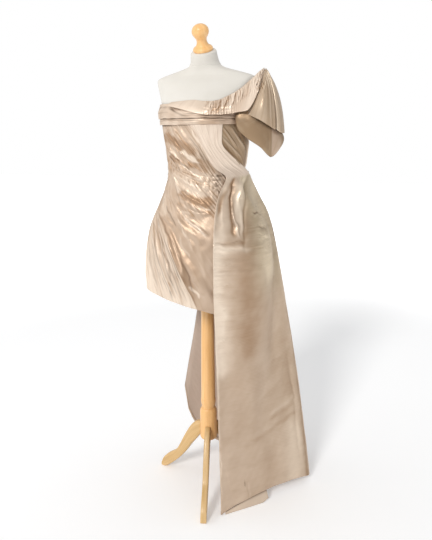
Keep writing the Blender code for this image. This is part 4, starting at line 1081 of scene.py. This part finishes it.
# Gathers: place across from 0 to 1 at the upper edge and where it ends, length as a share of the depth, rise
GATHERS = (
    (0.35, 0.32, 0.6, 0.0018), (0.405, 0.372, 0.95, 0.003), (0.452, 0.43, 0.5, 0.002), (0.476, 0.44, 0.95, 0.0038),
    (0.535, 0.5, 0.75, 0.0044), (0.556, 0.538, 0.45, 0.0024), (0.606, 0.575, 0.9, 0.005), (0.65, 0.64, 0.5, 0.0034),
    (0.684, 0.655, 0.85, 0.0046), (0.73, 0.728, 0.55, 0.004), (0.768, 0.752, 0.9, 0.004), (0.82, 0.822, 0.5, 0.0044),
    (0.846, 0.852, 0.8, 0.0036), (0.9, 0.905, 0.55, 0.005), (0.936, 0.94, 0.9, 0.005), (0.972, 0.97, 0.6, 0.004),
)


def bertha_surface(table, rows, columns, mirrored):
    """Points and marks: straight lines from the upper edge to the lower one, bellied out, with gathers that run
    down from the upper edge as narrow wavering ridges, and puckers where the flap starts at the shoulder."""
    down, across = shares(rows, columns)
    row = smooth_rows(table, across[0])[None]
    smooth = row[..., 0:3] + (row[..., 3:6] - row[..., 0:3]) * down[..., None]
    outward = unit(smooth - BERTHA_MIDDLE)
    smooth = smooth + outward * (0.003 * np.sin(pi * down))[..., None]
    place = 1 - across if mirrored else across
    wavering = place + 0.010 * soft_noise(across * 0.4, down * 0.05, 0.030, 51)
    gathers = np.zeros((rows, columns))
    for top, bottom, length, rise in GATHERS:
        line = top + (bottom - top) * down
        ridge = np.exp(-np.abs((wavering - line) / 0.010) ** 1.1)
        gathers = gathers + rise * ridge * ease(down / 0.10) * ease((length - down) / 0.40)
    crumpled = soft_noise(across * 0.4, down * 0.05, 0.013, 52)
    puckers = hump(place - 0.90, 0.08) * hump(down - 0.45, 0.28) * (not mirrored)
    gathers = gathers + 0.0012 * ease((place - 0.3) / 0.1) * crumpled
    smooth_edge = 1 - ease((place - 0.55) / 0.15) * ease((down - 0.42) / 0.26)
    knotty = soft_noise(across * 0.4, down * 0.09, 0.021, 59)
    gathers = gathers * (ease((place - 0.45) / 0.3) if mirrored else smooth_edge) + 0.0060 * puckers * knotty
    points = smooth + outward * gathers[..., None]
    gathered = ease((place - 0.32) / 0.12)
    # painted shade in the puckers' dips; painted light darker across the gathered middle, with highlights on the
    # puckers and where the relief faces the lit side
    shade = 0.45 * puckers * ease(-0.1 - knotty * 1.6)
    sheen = 0.84 - 0.30 * ease((place - 0.30) / 0.10) * ease((0.78 - place) / 0.15) * ease((down + 0.3) / 0.5)
    sheen = sheen + puckers * (0.05 + 0.50 * knotty)
    return points, {"sheen": sheen + 0.55 * turned_to_light(points, smooth), "shade": shade,
                    "across": place * 0.42 + 0.016 * down, "along": 0.05 * down,
                    "streaks": (0.16 + 0.60 * gathered * smooth_edge) * ease((1.05 - down) / 0.3)}


bertha = satin_piece("satin_bertha", ["bertha"], bertha_surface(BERTHA_ROWS, 44, 280, False), FOLDED_EDGE, olive=0.2)
bertha_back = satin_piece("satin_bertha_back", ["bertha_back"], bertha_surface(BERTHA_BACK_ROWS, 30, 150, True),
                          FOLDED_EDGE, olive=0.2)

# Sleeve: a lower sleeve that hangs open round the arm, and over its head a flap that fans out in soft pleats
# from the gathered shoulder. Both are satin, and the flap is folded in along its free edge.

FLAP_MIDDLE = (0.19, 0.0, 1.47)
SLEEVE_MIDDLE = (0.205, 0.0, 1.42)

# Flap from its gathered top to its free edge: top, middle and edge, each x, y, height
FLAP_ROWS = metres((
    (211.2, -42, 1546, 196, -70, 1500, 166, -80, 1462), (211.7, -36, 1560, 214, -78, 1508, 196, -90, 1450),
    (213.1, -27, 1578, 233, -78, 1512, 229, -90, 1434), (214.1, -14, 1592, 249, -54, 1517, 260, -62, 1412),
    (214.7, 0, 1603, 256, -12, 1519, 279, -10, 1398), (214.1, 14, 1592, 249, 38, 1517, 268, 44, 1402),
    (213.6, 26, 1578, 230, 74, 1508, 236, 82, 1422), (210.6, 36, 1556, 196, 84, 1496, 184, 92, 1446),
))

# Lower sleeve: top, middle and opening, each x, y, height, anticlockwise from above
SLEEVE_ROWS = metres((
    (146, -78, 1468, 139, -90, 1444, 146, -84, 1412), (178, -82, 1470, 180, -92, 1430, 178, -86, 1380),
    (208, -64, 1472, 220, -76, 1415, 219, -76, 1352), (232, -44, 1474, 248, -52, 1405, 251, -52, 1320),
    (244, -10, 1474, 264, -14, 1405, 275, -14, 1352), (240, 24, 1474, 262, 28, 1415, 271, 30, 1384),
    (218, 54, 1472, 232, 62, 1428, 236, 66, 1398), (186, 66, 1470, 192, 74, 1436, 194, 78, 1408),
    (164, 50, 1468, 166, 56, 1440, 165, 56, 1416), (159.4, 0, 1465, 163, 0, 1444, 163, 0, 1420),
))


def smooth_ring(rows, place):
    """Rows of a table that closes on itself, at places from 0 to 1 round it."""
    rows = np.asarray(rows, float)
    count = len(rows)
    wrapped = np.vstack([rows[-2:], rows, rows[:3]])
    return smooth_rows(wrapped, (np.asarray(place) % 1.0 * count + 2) / (count + 4))


def fan(rows, down):
    """Surface from top through middle to edge, each x, y and height of a row, along a quadratic curve."""
    top, middle, edge = rows[..., 0:3], rows[..., 3:6], rows[..., 6:9]
    control = 2 * middle - (top + edge) / 2
    return (1 - down) ** 2 * top + 2 * down * (1 - down) * control + down ** 2 * edge


# Pleats of the flap: place round at the top, place round at the edge, rise, half width at the edge
PLEATS = (
    (0.1, 0.08, 0.001, 0.04), (0.24, 0.225, 0.0009, 0.04), (0.345, 0.33, 0.0012, 0.026), (0.405, 0.395, 0.0017, 0.02),
    (0.458, 0.442, 0.003, 0.016), (0.492, 0.474, -0.013, 0.009), (0.525, 0.515, 0.0048, 0.024),
    (0.6, 0.6, 0.0014, 0.032), (0.68, 0.69, 0.0026, 0.03), (0.79, 0.8, 0.0022, 0.034), (0.9, 0.91, 0.0022, 0.034),
)


def flap_surface(rows, columns):
    """Points and marks: a fan from the shoulder with its pleats as wavering ridges along its lines, narrow
    above and wide below, one deep slit between two of them, and crumples where they are gathered."""
    around = np.linspace(0, 1, columns)
    down = np.linspace(0, 1, rows)[:, None, None]
    smooth = fan(smooth_rows(FLAP_ROWS, around)[None], down)
    down = down[..., 0]
    place = around[None] + 0.006 * soft_noise(around[None] * 0.4, down * 0.1, 0.05, 53)
    pleat = np.zeros((rows, columns))
    for top, edge, rise, width in PLEATS:
        line = top + (edge - top) * down
        spread = width * (0.45 + 0.55 * down)
        pleat = pleat + rise * np.exp(-np.abs((place - line) / spread) ** 1.5)
    gathered = hump(down, 0.16)
    pleat = pleat + 0.0030 * gathered * soft_noise(around[None] * 0.3, down * 0.12, 0.012, 54)
    tucked = ease((0.36 - place) / 0.10) * hump(down - 0.10, 0.22)
    pleat = pleat + 0.0034 * tucked * soft_noise(around[None] * 0.3, down * 0.12, 0.020, 57)
    outward = unit(smooth - FLAP_MIDDLE)
    points = smooth + outward * (pleat * ease(down * 6))[..., None]
    # painted shade in the slit; painted light darker on the tucked part and lighter where the pleats face the lit
    # side
    slit = np.exp(-((place - 0.492 + 0.018 * down) / (0.004 + 0.003 * down)) ** 2) * ease((down - 0.30) / 0.3)
    sheen = 0.38 - 0.16 * ease((place - 0.26) / 0.10) * ease((0.48 - place) / 0.04) * ease((down - 0.2) / 0.3)
    return points, {"sheen": sheen + 0.5 * turned_to_light(points, smooth), "shade": 0.85 * slit,
                    "across": place * 0.40, "along": 0.14 * down, "streaks": 0.30 - 0.14 * down}


def sleeve_surface(rows, columns):
    """A tube of quadratic curves from the sleeve's head to its slanting opening, with one long fold at its
    outer side and slow dents."""
    around = np.linspace(0, 1, columns, endpoint=False)
    down = np.linspace(0, 1, rows)[:, None, None]
    points = fan(smooth_ring(SLEEVE_ROWS, around)[None], down)
    down = down[..., 0]
    fold = np.exp(-np.abs((around[None] - 0.305 + 0.02 * down) / 0.012) ** 1.4) * ease((down - 0.2) / 0.4)
    dents = 0.0014 * soft_noise(around[None] * 0.45, down * 0.13, 0.09, 55) * ease(down / 0.3)
    outward = unit((points - SLEEVE_MIDDLE) * (1.0, 1.0, 0.2))
    raised = points + outward * (dents + 0.0040 * fold)[..., None]
    # the face beyond the fold is painted lighter, as lit, and less olive; painted shade runs beside the fold on the
    # near face
    beyond = ease((around[None] - 0.312 + 0.02 * down) / 0.012) * ease((0.45 - around[None]) / 0.08)
    hollow_shade = 0.14 * hump(around[None] - 0.288 + 0.02 * down, 0.016) * ease((down - 0.2) / 0.4)
    sheen = 0.02 + 0.30 * beyond + 0.05 * soft_noise(around[None] * 0.45, down * 0.13, 0.05, 56)
    return raised, {"sheen": sheen, "across": 0.05 * down + 0.20 * around[None], "along": around[None] * 0.4,
                    "streaks": 0.16, "shade": hollow_shade, "olive": 0.75 - 0.50 * beyond}


flap = satin_piece("satin_sleeve_flap", ["sleeve_flap"], flap_surface(70, 220), FOLDED_EDGE, olive=0.6)
sleeve = satin_piece("satin_lower_sleeve", ["sleeve_lower"], sleeve_surface(50, 160), ring=True)

# Studio: a white acrylic floor that glows a little, a far lamp in front that throws the soft shadow, a large
# soft box on the left and another overhead, white walls, and the camera where the photograph was taken from.

CAMERA_PLACE = (0.7154, -1.8477, 1.397)
CAMERA_HEADING = (-0.3453, 0.9385)
CAMERA_PITCH = 14.0
CAMERA_ROLL = -0.36
LENS = 36.6
LAMP_HEADING = (0.0877, 0.8341, -0.5446)   # the way that the far lamp's light goes
WHITE = (1.0, 1.0, 1.0, 1.0)


def floor_acrylic():
    """Matte white acrylic, lit from below, with a trace of unevenness."""
    material, shader, node = new_material("floor_acrylic")
    place = node("ShaderNodeTexCoord").outputs["Object"]
    uneven = noise(node, place, 2.0, 3.0)
    tint = node("ShaderNodeMix", {"data_type": "RGBA"}, i0=uneven, i6=(0.915, 0.922, 0.935, 1.0),
                i7=(0.925, 0.932, 0.945, 1.0)).outputs[2]
    distance = node("ShaderNodeVectorMath", {"operation": "LENGTH"}, i0=place).outputs["Value"]
    glow = node("ShaderNodeMapRange", {"interpolation_type": "SMOOTHSTEP"}, Value=distance, i1=2.2, i2=4.5,
                i3=0.15, i4=0.60).outputs[0]
    plug(shader, {"Base Color": tint, "Roughness": 0.9, "Specular IOR Level": 0.1, "Emission Color": WHITE,
                  "Emission Strength": glow})
    return material


def soft_box(name, azimuth, elevation, distance, width, height, radiance):
    """Rectangular light of a given brightness, aimed at the middle of the dress."""
    light = bpy.data.lights.new(name, "AREA")
    light.shape = "RECTANGLE"
    light.size = width
    light.size_y = height
    light.energy = radiance * pi * width * height
    light.color = (1.0, 0.99, 0.975)
    lamp = bpy.data.objects.new(name, light)
    turn, rise = radians(azimuth), radians(elevation)
    away = Vector((sin(turn) * cos(rise), -cos(turn) * cos(rise), sin(rise)))
    lamp.location = Vector((POLE_X + 0.05, POLE_Y, 0.95)) + away * distance
    lamp.rotation_euler = away.to_track_quat("Z", "Y").to_euler()
    bpy.context.scene.collection.objects.link(lamp)


floor_mesh = bpy.data.meshes.new("studio_floor")
floor_mesh.from_pydata([(-14, -14, 0), (14, -14, 0), (14, 14, 0), (-14, 14, 0)], [], [(0, 1, 2, 3)])
floor_mesh.materials.append(floor_acrylic())
floor = bpy.data.objects.new("studio_floor", floor_mesh)
bpy.context.scene.collection.objects.link(floor)

soft_box("left_soft_box", -70.0, 32.0, 2.6, 2.0, 2.4, 0.55)
soft_box("top_soft_box", -60.0, 78.0, 2.4, 1.8, 1.8, 0.3)

# the large lamp far in front of the dress, a little to its right
lamp_light = bpy.data.lights.new("far_lamp", "SUN")
lamp_light.energy = 1.6
lamp_light.angle = radians(13.0)
lamp_light.color = (1.0, 0.985, 0.96)
far_lamp = bpy.data.objects.new("far_lamp", lamp_light)
far_lamp.rotation_euler = Vector(LAMP_HEADING).to_track_quat("-Z", "Y").to_euler()
bpy.context.scene.collection.objects.link(far_lamp)

# the walls' brightness follows how far a direction is turned to the camera's side
world = bpy.data.worlds.new("studio_white")
world.use_nodes = True
node = node_adder(world.node_tree)
direction = node("ShaderNodeTexCoord").outputs["Generated"]
towards = node("ShaderNodeVectorMath", {"operation": "DOT_PRODUCT"}, i0=direction,
               i1=(-CAMERA_HEADING[0], -CAMERA_HEADING[1], 0.0)).outputs["Value"]
strength = remap(node, towards, -0.3, 0.9, 0.66, 0.42)
walls = world.node_tree.nodes["Background"]
plug(walls, {"Color": WHITE, "Strength": strength})
backdrop = node("ShaderNodeBackground", Color=WHITE).outputs[0]
seen = node("ShaderNodeLightPath").outputs["Is Camera Ray"]
mix = node("ShaderNodeMixShader", i0=seen, i1=walls.outputs[0], i2=backdrop).outputs[0]
plug(world.node_tree.nodes["World Output"], {"Surface": mix})
bpy.context.scene.world = world
bpy.context.scene.view_settings.view_transform = "Standard"

camera_data = bpy.data.cameras.new("camera")
camera_data.lens = LENS
camera_data.sensor_width = 36.0
camera = bpy.data.objects.new("camera", camera_data)
camera.location = (POLE_X + CAMERA_PLACE[0], POLE_Y + CAMERA_PLACE[1], CAMERA_PLACE[2])
pitch = radians(CAMERA_PITCH)
forward = Vector((CAMERA_HEADING[0] * cos(pitch), CAMERA_HEADING[1] * cos(pitch), -sin(pitch)))
level = forward.to_track_quat("-Z", "Y").to_matrix().to_4x4()
camera.rotation_euler = (level @ Matrix.Rotation(radians(CAMERA_ROLL), 4, "Z")).to_euler()
bpy.context.scene.collection.objects.link(camera)
bpy.context.scene.camera = camera
